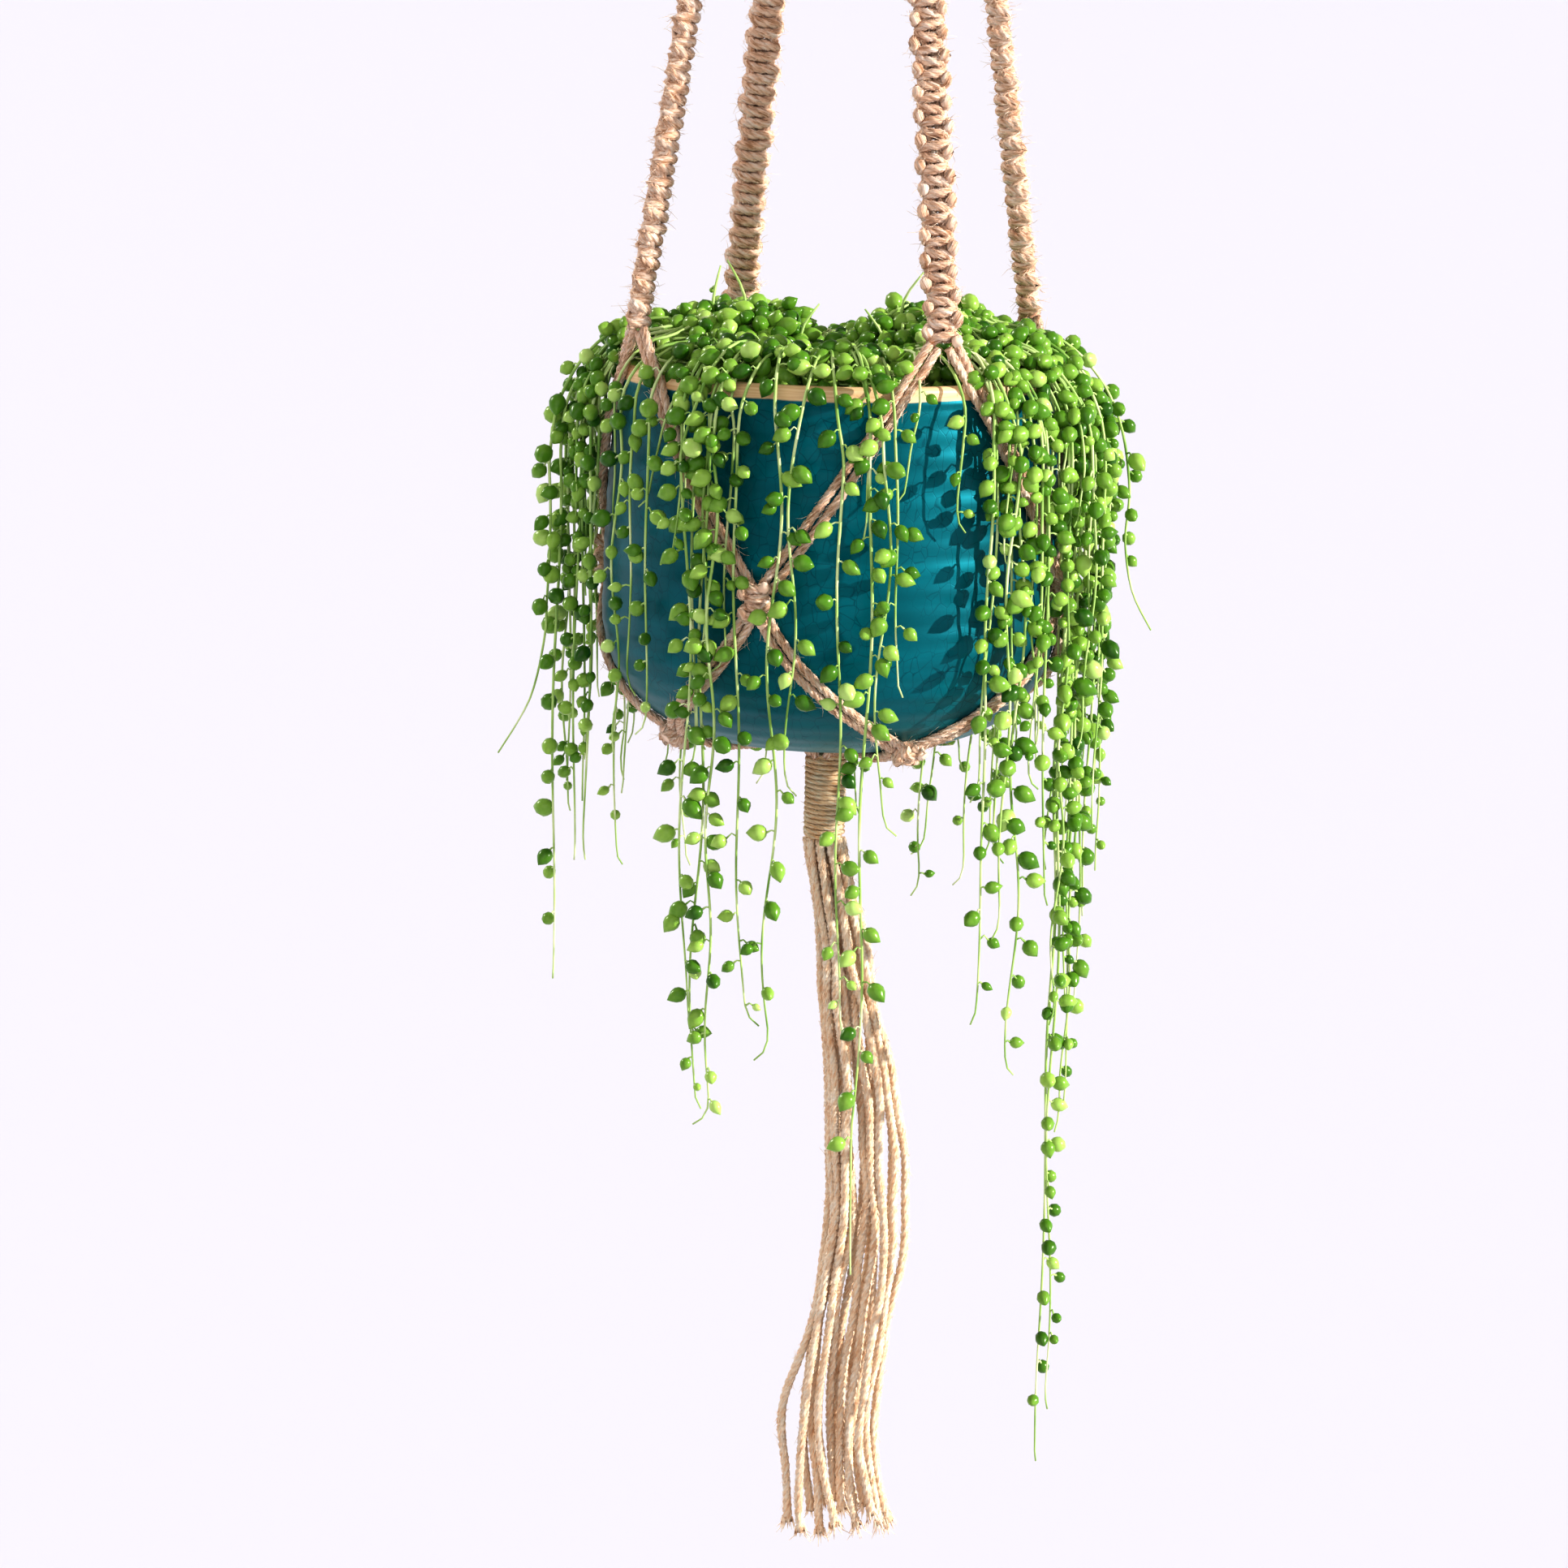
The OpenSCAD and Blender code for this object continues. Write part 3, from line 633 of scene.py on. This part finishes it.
def add_strap(i):
    """Knotted strap, with its four cords coming down out of the binding."""
    tubes = Tubes()
    frame_at = strap_place(i)
    length = math.hypot(STRAP_END_R - STRAP_TOP_R, STRAP_TOP_Z - STRAP_END_Z)
    half_knots = 2 * round(length / HALF_KNOT / 2)

    def place(p):
        return frame_at @ Vector((p[0], p[1], -p[2]))

    knot_cords(tubes, place, half_knots, length / half_knots, 0.0054, 0.003, i * 1.7)
    turn = turned(HANGER_TURN + 90 * i)
    for k, x in enumerate((-0.0039, -0.0013, 0.0013, 0.0039)):
        top = turn @ Vector((x, -0.006, TOP_WRAP_Z - TOP_WRAP_H + 0.001))
        foot = place((x * 1.35, 0, 0.003))
        middle = (top + foot) / 2 + turn @ Vector((0, 0.0006, 0))
        cord(tubes, smooth([top, middle, foot], 6), phase=k)
    name = f"strap_{i + 1}"
    return add_cords(tubes, name + "_knots", JUTE, name)


def add_wall_cords(name, i, turn, s_start, s_end, azimuth, spread_r):
    """Two pairs of cords that run down the pot's side, one pair to either hand."""
    tubes = Tubes()
    tilt = math.radians(34)
    for side in (-1, 1):
        for j in (-1, 1):
            path = []
            for u in np.linspace(0, 1, 40):
                s = s_start + (s_end - s_start) * u - j * CORD_R * math.sin(tilt)
                apart = math.degrees(j * CORD_R * math.cos(tilt) / spread_r(s))
                path.append(around(s, side * (azimuth(u) + apart) + turn, CORD_R))
            cord(tubes, path, phase=j + side * 2 + i, wobble=0.0005)
    return add_cords(tubes, f"{name}_{i + 1}_pairs", JUTE, f"{name}_{i + 1}")


def add_upper_cords(i):
    """Pairs from a strap's end, over the rim, to the side knots on either hand."""
    return add_wall_cords("upper_cords", i, HANGER_TURN + 90 * i, -0.016, SIDE_KNOT_S - 0.005,
                          lambda u: 2.5 + 40.5 * u, lambda s: RIM_R)


def add_lower_cords(i):
    """Pairs from a side knot, round the pot's bottom corner, to the edge knots."""
    return add_wall_cords("lower_cords", i, HANGER_TURN + 45 + 90 * i, SIDE_KNOT_S + 0.005,
                          EDGE_S - 0.0022, lambda u: 2 + 39 * u ** 1.4, lambda s: side_point(s)[0])


def add_wall_knot(name, i, azimuth, s, tilt, half_knots, length):
    """Square knots lying on the pot's side."""
    tubes = Tubes()
    radius, z = side_point(s, 0.0038)
    frame_at = (turned(azimuth) @ Matrix.Translation((0, -radius, RIM_Z + z))
                @ Matrix.Rotation(math.radians(tilt), 4, "X") @ Matrix.Translation((0, 0, length / 2)))

    def place(p):
        return frame_at @ Vector((p[0], p[1], -p[2]))

    knot_cords(tubes, place, half_knots, length / half_knots, 0.0044, 0.0026, azimuth)
    return add_cords(tubes, f"{name}_{i + 1}_tied", JUTE, f"{name}_{i + 1}")


def add_base_cords():
    """Four flat bundles of four cords from the edge knots, under the pot, to the binding."""
    tubes = Tubes()
    start, end = EDGE_S + 0.003, BASE_S + CORNER_X - 0.011
    stops = (start, (start + BASE_S) / 2, BASE_S, (BASE_S + end) / 2, end)
    for i in range(4):
        turn = turned(HANGER_TURN + 90 * i)
        for k in (-1.5, -0.5, 0.5, 1.5):
            path = []
            for n, s in enumerate(stops):
                p = around(s, 0, CORD_R)
                path.append(Vector((k * (CORD_D - 0.00045 * n), p.y, p.z)))
            path.append(Vector((k * 0.002, -0.006, TASSEL_WRAP_Z - 0.001)))
            cord(tubes, [turn @ Vector(p) for p in smooth(path, 8)], phase=k + i, wobble=0.0004)
    add_cords(tubes, "base_bundles", JUTE, "base_cords")


def add_binding(node, radius, seed):
    """Twine wound tightly round the cords, over a core that fills it."""
    low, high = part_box(node)
    tubes = Tubes()
    turns = round((high.z - low.z) / TWINE_D) - 1
    steps = 26
    path = []
    for n in range(turns * steps + 1):
        a = math.tau * n / steps
        r = radius - TWINE_D / 2 + 0.00025 * noise.noise(Vector((a * 0.9, seed, 0)))
        z = high.z - TWINE_D * 0.55 - (high.z - low.z - TWINE_D * 1.1) * n / (turns * steps)
        z += 0.0004 * noise.noise(Vector((a * 0.35, seed + 4, 0)))
        path.append((r * math.sin(a), -r * math.cos(a), z))
    cord(tubes, path, TWINE_D / 2 * 1.08, gap=0.0013, phase=seed)
    core = [(0, 0, high.z - 0.0002), (0, 0, low.z + 0.0002)]
    tubes.add(core, radius - TWINE_D * 0.7, sides=24)
    return add_cords(tubes, node + "_twine", JUTE_TWINE, node).paths[0]


def add_ring():
    """Turned wooden ring."""
    bm = bmesh.new()
    place = Matrix.Translation((RING_R, 0, RING_MIDDLE))
    section = bmesh.ops.create_circle(bm, segments=24, radius=RING_ROD, matrix=place)["verts"]
    bmesh.ops.spin(bm, geom=section + list(bm.edges), cent=(0, 0, RING_MIDDLE), axis=(0, 1, 0),
                   angle=math.tau, steps=96, use_merge=True)
    add_spun(bm, "wooden_ring", RING_WOOD, "hanging_ring")


def add_spun(bm, name, material, node):
    """Closed spun shape that stands for a CAD node."""
    bmesh.ops.remove_doubles(bm, verts=bm.verts, dist=1e-6)
    bmesh.ops.recalc_face_normals(bm, faces=bm.faces)
    mesh = bpy.data.meshes.new(name)
    bm.to_mesh(mesh)
    bm.free()
    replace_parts(add_piece(mesh, name, material), node)


def add_loops():
    """Eight cords folded over the ring's lowest part, with their legs in the binding."""
    fold = RING_ROD + CORD_R
    tubes = Tubes()
    for k in np.arange(-3.5, 4):
        a = math.radians(13 * k)
        outward = Vector((math.sin(a), 0, -math.cos(a)))
        centre = Vector((0, 0, RING_MIDDLE)) + RING_R * outward
        path = [Vector((k * 0.002, 0.004, TOP_WRAP_Z - 0.001))]
        for n in range(7):
            b = math.pi * n / 6
            path.append(centre + fold * (Vector((0, math.cos(b), 0)) - math.sin(b) * outward))
        path.append(Vector((k * 0.002, -0.004, TOP_WRAP_Z - 0.001)))
        cord(tubes, smooth(path, 7), phase=k * 2)
    return add_cords(tubes, "folded_cords", JUTE, "ring_loops")


# ---------------------------------------------------------------- pot and soil

def spin_profile(bm, profile, steps):
    """Closed outline of (radius, z) points spun about the hanging line."""
    verts = [bm.verts.new((r, 0, z)) for r, z in profile]
    edges = [bm.edges.new((a, b)) for a, b in zip(verts, verts[1:])]
    bmesh.ops.spin(bm, geom=verts + edges, cent=(0, 0, 0), axis=(0, 0, 1), angle=math.tau,
                   steps=steps, use_merge=True)


def add_pot():
    """Thrown pot: faint throwing rings, a glaze edge below the bare rim and a rounded lip."""
    lip, outer_steps, lip_steps, inner_steps = WALL / 2, 150, 9, 40
    profile = [(0, RIM_Z - POT_H)]
    for n in range(outer_steps, -1, -1):
        s = lip + (BASE_S - lip) * n / outer_steps
        rings = 0.00012 * math.sin(math.tau * s / 0.0085) + 0.0001 * math.sin(math.tau * s / 0.023)
        glaze = 0.0 if s < GLAZE_EDGE else -0.0001
        if GLAZE_EDGE <= s < GLAZE_EDGE + 0.002:
            glaze = 0.00025
        fade = min(1.0, max(0.0, (s - GLAZE_EDGE) / 0.01))
        r, z = side_point(s, rings * fade + glaze - 0.00015)
        profile.append((r, RIM_Z + z))
    for n in range(1, lip_steps):
        a = math.pi * n / lip_steps
        profile.append((RIM_R - lip + lip * math.cos(a), RIM_Z - lip + lip * math.sin(a)))
    for n in range(inner_steps + 1):
        r, z = side_point(lip + (BASE_S - lip) * n / inner_steps, -WALL)
        profile.append((r, RIM_Z + z))
    profile.append((0, RIM_Z - POT_H + WALL))
    bm = bmesh.new()
    spin_profile(bm, profile, 160)
    add_spun(bm, "glazed_pot", GLAZE, "pot")


def add_soil():
    """Crumbly soil that fills the pot."""
    gap, side_steps, top_steps = WALL + 0.0003, 20, 24
    profile = [(0, RIM_Z - POT_H + gap)]
    for n in range(side_steps, -1, -1):
        r, z = side_point(SOIL_DROP + (BASE_S - SOIL_DROP) * n / side_steps, -gap)
        profile.append((r, RIM_Z + z))
    top = profile[-1][0]
    profile += [(top * n / top_steps, RIM_Z - SOIL_DROP) for n in range(top_steps - 1, -1, -1)]
    bm = bmesh.new()
    spin_profile(bm, profile, 96)
    for v in bm.verts:
        if v.co.z > RIM_Z - SOIL_DROP - 0.0001 and v.co.xy.length < top * 0.99:
            lumps = noise.noise(v.co * 70) + 0.6 * noise.noise(v.co * 210)
            v.co.z += 0.0035 * lumps
    add_spun(bm, "potting_soil", SOIL, "soil")


# ---------------------------------------------------------------- plant

def pearl_template():
    """Bead-shaped leaf, one unit in radius, with its stalk end at -Z and its point at +Z."""
    bm = bmesh.new()
    bmesh.ops.create_uvsphere(bm, u_segments=9, v_segments=6, radius=1, calc_uvs=True)
    bm.verts.layers.float.new("tone")
    for v in bm.verts:
        up = max(0.0, v.co.z)
        narrow = 1 - 0.22 * up ** 3
        v.co = Vector((v.co.x * narrow, v.co.y * narrow, v.co.z + 0.38 * up ** 9))
    mesh = bpy.data.meshes.new("pearl")
    bm.to_mesh(mesh)
    bm.free()
    return mesh


class Leaves:
    """Stems and pearls of one sheaf, gathered into two meshes."""

    def __init__(self, rng):
        self.stems = Tubes()
        self.pearls = bmesh.new()
        self.rng = rng

    def pearl(self, stem, way, size, stalk, tone):
        """One pearl on its stalk, beside a point of a stem."""
        if crowded(stem + way * (stalk + size)):
            return
        rng = self.rng
        hang = (way + Vector((rng.gauss(0, 0.25), rng.gauss(0, 0.25), rng.gauss(-0.35, 0.3)))).normalized()
        neck = stem + way * stalk
        centre = neck + hang * size
        tall = rng.uniform(1.0, 1.22)
        place = (Matrix.Translation(centre) @ hang.to_track_quat("Z", "Y").to_matrix().to_4x4()
                 @ Matrix.Rotation(rng.uniform(0, math.tau), 4, "Z")
                 @ Matrix.Diagonal((size, size, size * tall, 1)))
        copy = PEARL.copy()
        copy.transform(place)
        copy.attributes["tone"].data.foreach_set("value", [tone] * len(copy.vertices))
        self.pearls.from_mesh(copy)
        bpy.data.meshes.remove(copy)
        bow = (stem + neck) / 2 + Vector((0, 0, rng.uniform(0.1, 0.5) * stalk))
        self.stems.add([stem, bow, centre - hang * size * 0.96],
                       [0.00042, 0.00034, 0.00055], sides=4)

    def string(self, path, spacing, size, first=0.0, bare=0.018, tip_scale=0.55):
        """Stem along a path with pearls to either side of it and a thin bare tip."""
        rng = self.rng
        path = spaced(path, STEM_STEP)
        run = STEM_STEP * (len(path) - 1)
        along = np.linspace(0, 1, len(path))
        self.stems.add(path, 0.0007 * (1 - 0.5 * along ** 2), sides=5)
        at, side = first + rng.uniform(0.2, 1) * spacing, rng.choice((-1, 1))
        while at < run - bare:
            i = min(len(path) - 2, int(at / STEM_STEP))
            here = Vector(path[i]).lerp(Vector(path[i + 1]), at / STEM_STEP - i)
            ahead = Vector(path[i + 1] - path[i]).normalized()
            outward = Vector((here.x, here.y, 0.002 if here.z < RIM_Z else 0.12)).normalized()
            across = ahead.cross(outward)
            across = across.normalized() if across.length > 0.05 else Vector((1, 0, 0))
            lean = rng.uniform(0.05, 0.95)
            way = (across * side + outward * lean - Vector((0, 0, 0.25))).normalized()
            left = (run - at) / 0.06
            grown = size * rng.uniform(0.8, 1.14) * min(1.0, tip_scale + (1 - tip_scale) * left)
            tone = min(0.9, max(0.0, rng.gauss(0.36, 0.2)))
            self.pearl(here, way, grown, rng.uniform(0.0012, 0.0042), tone)
            at += spacing * rng.uniform(0.6, 1.45) * (1 + 1.2 * min(0.25, max(0.0, RIM_Z - here.z)))
            side = -side if rng.random() < 0.85 else side

    def pieces(self, name, node):
        """The sheaf's two pieces; the pearls stand for a CAD node."""
        mesh = bpy.data.meshes.new("pearls_" + name)
        self.pearls.to_mesh(mesh)
        self.pearls.free()
        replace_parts(add_piece(mesh, "pearls_" + name, PEARL_LEAF), node)
        add_piece(self.stems.mesh("stems_" + name), "stems_" + name, STEM)


def crowded(p):
    """Whether a pearl would sit in a strap's end or in the cords beside it."""
    height = p.z - RIM_Z
    if height < 0.002 or math.hypot(p.x, p.y) < 0.072:
        return False
    azimuth = math.degrees(math.atan2(p.x, -p.y))
    off = (azimuth - HANGER_TURN + 45) % 90 - 45
    return abs(off) < 7.5


def mound(x, y):
    """Height of the heap of leaves above the rim."""
    best = 0.003 - 0.1 * max(0.0, y)
    for cx, cy, cz, r in HEAPS:
        gap = r * r - (x - cx) ** 2 - (y - cy) ** 2
        if gap > 0:
            best = max(best, cz + math.sqrt(gap))
    return best


def hanging_path(rng, azimuth, fall, stand, sway, tip, flick):
    """Route of one string: up out of the heap, in an arc over the rim, and down the pot's side.

    Its end curls aside by tip and away from the pot by flick.
    """
    start = polar(rng.uniform(0.025, 0.055), azimuth + rng.uniform(-30, 30), 0)
    start.z = RIM_Z + mound(start.x, start.y) - rng.uniform(0, 0.012)
    inner, reach, drop = 0.07, RIM_R + 0.0055 + stand, 0.012
    dip = 0.007 * max(0.0, -math.cos(math.radians(azimuth))) ** 6
    top, bottom = 0.008 - dip + 0.25 * stand + rng.uniform(0, 0.004), 0.012 + 1.3 * stand
    shift = rng.uniform(-6, 6)
    points = [start, (start + polar(inner, azimuth + shift, top)) / 2 + Vector((0, 0, 0.004))]
    for share in (0.0, 0.25, 0.5, 0.75):
        a = share * math.pi / 2
        radius = inner + (reach - inner) * math.sin(a)
        points.append(polar(radius, azimuth + shift * (1 - share), top - (top + bottom) * (1 - math.cos(a))))
    wave, phase = rng.uniform(0.07, 0.15), rng.uniform(0, math.tau)
    swing = rng.uniform(0.0008, 0.0026)
    depth = bottom
    while depth < fall:
        wall = side_point(min(depth, BELLY_DROP))[0] + 0.0052
        radius = max(wall, reach) + 0.001 * math.sin(depth / wave * 5 + phase * 2)
        aside = swing * math.sin(math.tau * depth / wave + phase) + sway * (depth / fall) ** 1.5
        points.append(polar(radius, azimuth + math.degrees(aside / radius), -depth))
        depth += drop
    last = points[-1]
    heading = Vector((math.cos(math.radians(azimuth)), math.sin(math.radians(azimuth)), 0))
    curl = tip * rng.choice((-1, 1))
    away = Vector((last.x, last.y, 0)).normalized() * flick
    points.append(last + heading * curl * 0.25 + away * 0.3 - Vector((0, 0, 0.007 + flick)))
    points.append(last + heading * curl + away - Vector((0, 0, 0.011 + 2 * flick)))
    return smooth(points, 4)


def add_sheaf(name, seed, spread, count, falls, stands, marked=(), spacing=0.0104):
    """Strings over one stretch of the rim, between two azimuths.

    Fall is how far a string hangs below the rim, and stand how far off the pot. Marked strings have
    an azimuth, a fall, a stand and perhaps an end that flicks away, of their own.
    """
    rng = random.Random(seed)
    leaves = Leaves(rng)
    strings = [(*values, 0.0)[:4] for values in marked]
    for n in range(count):
        share = (n + rng.random()) / count
        azimuth = spread[0] + (spread[1] - spread[0]) * share
        fall = falls[0] + (falls[1] - falls[0]) * rng.random() ** 1.15
        strings.append((azimuth, fall, rng.uniform(*stands), 0.0))
    for azimuth, fall, stand, flick in strings:
        sway = rng.gauss(0, 0.004)
        path = hanging_path(rng, azimuth, fall, stand, sway, rng.uniform(0.001, 0.007), flick)
        bare = rng.uniform(0.006, 0.03) + 1.5 * flick
        leaves.string(path, spacing, rng.uniform(0.0027, 0.0035), bare=bare)
    leaves.pieces(name, "trail_" + name)


def add_crown():
    """Tangle of short stems and pearls heaped on the soil, in two layers, with a few free tips."""
    rng = random.Random(11)
    leaves = Leaves(rng)
    for n in range(CROWN_STEMS):
        sunk = rng.uniform(0.006, 0.013) if n % 2 else rng.uniform(-0.001, 0.005)
        radius = 0.076 * math.sqrt(rng.random())
        p = polar(radius, rng.uniform(0, 360), 0)
        heading = rng.uniform(0, math.tau)
        path = []
        for _ in range(rng.randint(5, 11)):
            if p.xy.length > CROWN_R:
                break
            path.append((p.x, p.y, RIM_Z + mound(p.x, p.y) - sunk + rng.uniform(-0.001, 0.002)))
            heading += rng.gauss(0, 0.35)
            p = p + 0.008 * Vector((math.cos(heading), math.sin(heading), 0))
        if len(path) > 2:
            leaves.string(smooth(path, 3), 0.0068, rng.uniform(0.0031, 0.004), bare=0.002, tip_scale=0.8)
    for azimuth, radius, rise in FREE_TIPS:
        foot = polar(radius, azimuth, 0)
        foot.z = RIM_Z + mound(foot.x, foot.y) - 0.004
        lean = Vector((rng.uniform(-0.006, 0.006), rng.uniform(-0.004, 0.004), 0))
        top = foot + lean * 1.6 + Vector((0, 0, rise))
        path = smooth([foot, foot + lean * 0.3 + Vector((0, 0, rise * 0.5)), top], 6)
        leaves.string(path, 0.009, 0.0019, bare=0.008)
    leaves.pieces("crown", "plant_crown")


# ---------------------------------------------------------------- light and floor

def add_sun(name, azimuth, elevation, strength, spread, colour):
    """Distant light from an azimuth and an elevation, soft by its spread in degrees."""
    light = bpy.data.lights.new(name, "SUN")
    light.energy = strength
    light.angle = math.radians(spread)
    light.color = colour
    lamp = bpy.data.objects.new(name, light)
    a, e = math.radians(azimuth), math.radians(elevation)
    away = Vector((math.sin(a) * math.cos(e), -math.cos(a) * math.cos(e), math.sin(e)))
    lamp.rotation_euler = away.to_track_quat("Z", "Y").to_euler()
    scene.collection.objects.link(lamp)


def add_room():
    """Pale walls under a dimmer ceiling, a key, a rim and a fill light, and a pale floor."""
    world = bpy.data.worlds.new("surroundings")
    world.use_nodes = True
    nodes, links = world.node_tree.nodes, world.node_tree.links
    place = nodes.new("ShaderNodeSeparateXYZ")
    links.new(nodes.new("ShaderNodeTexCoord").outputs["Generated"], place.inputs[0])
    dim = nodes.new("ShaderNodeMapRange")
    links.new(place.outputs[2], dim.inputs["Value"])
    heights = {"From Min": 0.12, "From Max": 0.35, "To Min": WALL_LIGHT, "To Max": CEILING_LIGHT}
    for key, value in heights.items():
        dim.inputs[key].default_value = value
    links.new(dim.outputs[0], nodes["Background"].inputs["Strength"])
    nodes["Background"].inputs["Color"].default_value = (0.985, 0.95, 1.0, 1)
    scene.world = world
    add_sun("key", 74, 19, 5.2, 1.2, (1.0, 0.975, 0.95))
    add_sun("rim", -122, 32, 1.5, 12, (1.0, 0.98, 0.96))
    add_sun("fill", -5, 32, 0.8, 60, (1.0, 0.98, 0.97))
    floor = Finish("floor", 0.9, 0.1)
    floor.shader.inputs["Base Color"].default_value = (0.7, 0.695, 0.748, 1)
    bm = bmesh.new()
    bmesh.ops.create_grid(bm, x_segments=1, y_segments=1, size=FLOOR_HALF,
                          matrix=Matrix.Translation((0, 0, FLOOR_Z)))
    mesh = bpy.data.meshes.new("floor")
    bm.to_mesh(mesh)
    bm.free()
    mesh.materials.append(floor.material)
    ground = bpy.data.objects.new("floor", mesh)
    scene.collection.objects.link(ground)
    scene.view_settings.view_transform = "Standard"
    scene.view_settings.gamma = 0.82
    scene.view_settings.exposure = 0.2


# The last number of each jute is how strongly painted shade darkens the grooves between its plies.
JUTE = make_jute("jute_cord", (0.43, 0.21, 0.1), (0.86, 0.57, 0.39), (0.93, 0.77, 0.64), 0.3)
JUTE_TASSEL = make_jute("jute_tassel", (0.82, 0.47, 0.25), (1.0, 0.75, 0.51), (1.0, 0.87, 0.7), 0.25)
JUTE_TWINE = make_jute("jute_twine", (0.86, 0.48, 0.2), (1.0, 0.72, 0.42), (1.0, 0.89, 0.66), 0.25)
JUTE_FUZZ = make_fuzz()
RING_WOOD = make_wood()
GLAZE = make_glaze()
SOIL = make_soil()
PEARL_LEAF = make_pearl()
STEM = make_stem()
PEARL = pearl_template()
TASSEL_TUBES = Tubes()

add_camera()
add_tassel()
hanger_rng = random.Random(5)
add_fuzz("tassel_fuzz", TASSEL_TUBES, TASSEL_FUZZ, hanger_rng, STRAND_D / 2, 0.006)
add_frayed_ends(random.Random(31))
for i in range(4):
    add_fuzz(f"strap_{i + 1}_fuzz", add_strap(i), STRAP_FUZZ, hanger_rng)
wall_cords = Tubes()
for i in range(4):
    wall_cords.paths += add_upper_cords(i).paths
    wall_cords.paths += add_lower_cords(i).paths
    side_turn, edge_turn = HANGER_TURN + 45 + 90 * i, HANGER_TURN + 90 * i
    wall_cords.paths += add_wall_knot("side_knot", i, side_turn, SIDE_KNOT_S, 0, 4, 0.014).paths
    wall_cords.paths += add_wall_knot("edge_knot", i, edge_turn, EDGE_S, EDGE_ANGLE, 2, 0.009).paths
add_fuzz("wall_cord_fuzz", wall_cords, WALL_FUZZ, hanger_rng)
add_base_cords()
bindings = Tubes()
bindings.paths = [add_binding("top_wrap", 0.0105, 3), add_binding("tassel_wrap", 0.0085, 8)]
add_fuzz("binding_fuzz", bindings, BINDING_FUZZ, hanger_rng, TWINE_D / 2, 0.005)
add_ring()
add_fuzz("ring_cord_fuzz", add_loops(), RING_FUZZ, hanger_rng)
add_pot()
add_soil()

add_sheaf("left", 21, (-112, -76), 14, falls=(0.04, 0.19), stands=(0.002, 0.014),
          marked=((-90, 0.25, 0.018), (-85, 0.2, 0.01), (-100, 0.19, 0.017), (-78, 0.19, 0.006),
                  (-94, 0.165, 0.014), (-88, 0.115, 0.022, 0.018)))
add_sheaf("front_left", 22, (-45, -25), 6, falls=(0.03, 0.15), stands=(0.003, 0.01),
          marked=((-34, 0.246, 0.01), (-30, 0.275, 0.007), (-27, 0.283, 0.011), (-23, 0.24, 0.007),
                  (-13, 0.258, 0.008), (-9, 0.15, 0.01), (-66, 0.06, 0.004), (-60, 0.14, 0.006),
                  (-54, 0.12, 0.005), (-47, 0.13, 0.007)))
add_sheaf("front", 23, (-8, 10), 1, falls=(0.03, 0.06), stands=(0.005, 0.01),
          marked=((1, 0.25, 0.01), (8, 0.29, 0.01, 0.02), (11, 0.17, 0.012), (13, 0.11, 0.008),
                  (18, 0.035, 0.006), (31, 0.045, 0.006)))
add_sheaf("front_right", 24, (38, 62), 8, falls=(0.04, 0.18), stands=(0.003, 0.012),
          marked=((37, 0.24, 0.008), (43, 0.215, 0.01), (47, 0.27, 0.008), (52, 0.2, 0.012)))
add_sheaf("right_long", 25, (60, 74), 2, falls=(0.15, 0.26), stands=(0.006, 0.014),
          marked=((64, 0.42, 0.01), (66, 0.437, 0.008), (70, 0.3, 0.012), (73, 0.285, 0.012)))
add_sheaf("right", 26, (62, 108), 27, falls=(0.04, 0.2), stands=(0.003, 0.02),
          marked=((80, 0.25, 0.012), (88, 0.2, 0.018), (84, 0.22, 0.014), (90, 0.075, 0.026, 0.012)))
add_sheaf("back_right", 27, (124, 160), 15, falls=(0.05, 0.23), stands=(0.004, 0.014))
add_sheaf("back", 28, (161, 196), 15, falls=(0.05, 0.22), stands=(0.004, 0.014))
add_sheaf("back_left", 29, (212, 244), 15, falls=(0.05, 0.225), stands=(0.004, 0.014),
          marked=((-122, 0.212, 0.012),))
add_crown()

add_room()
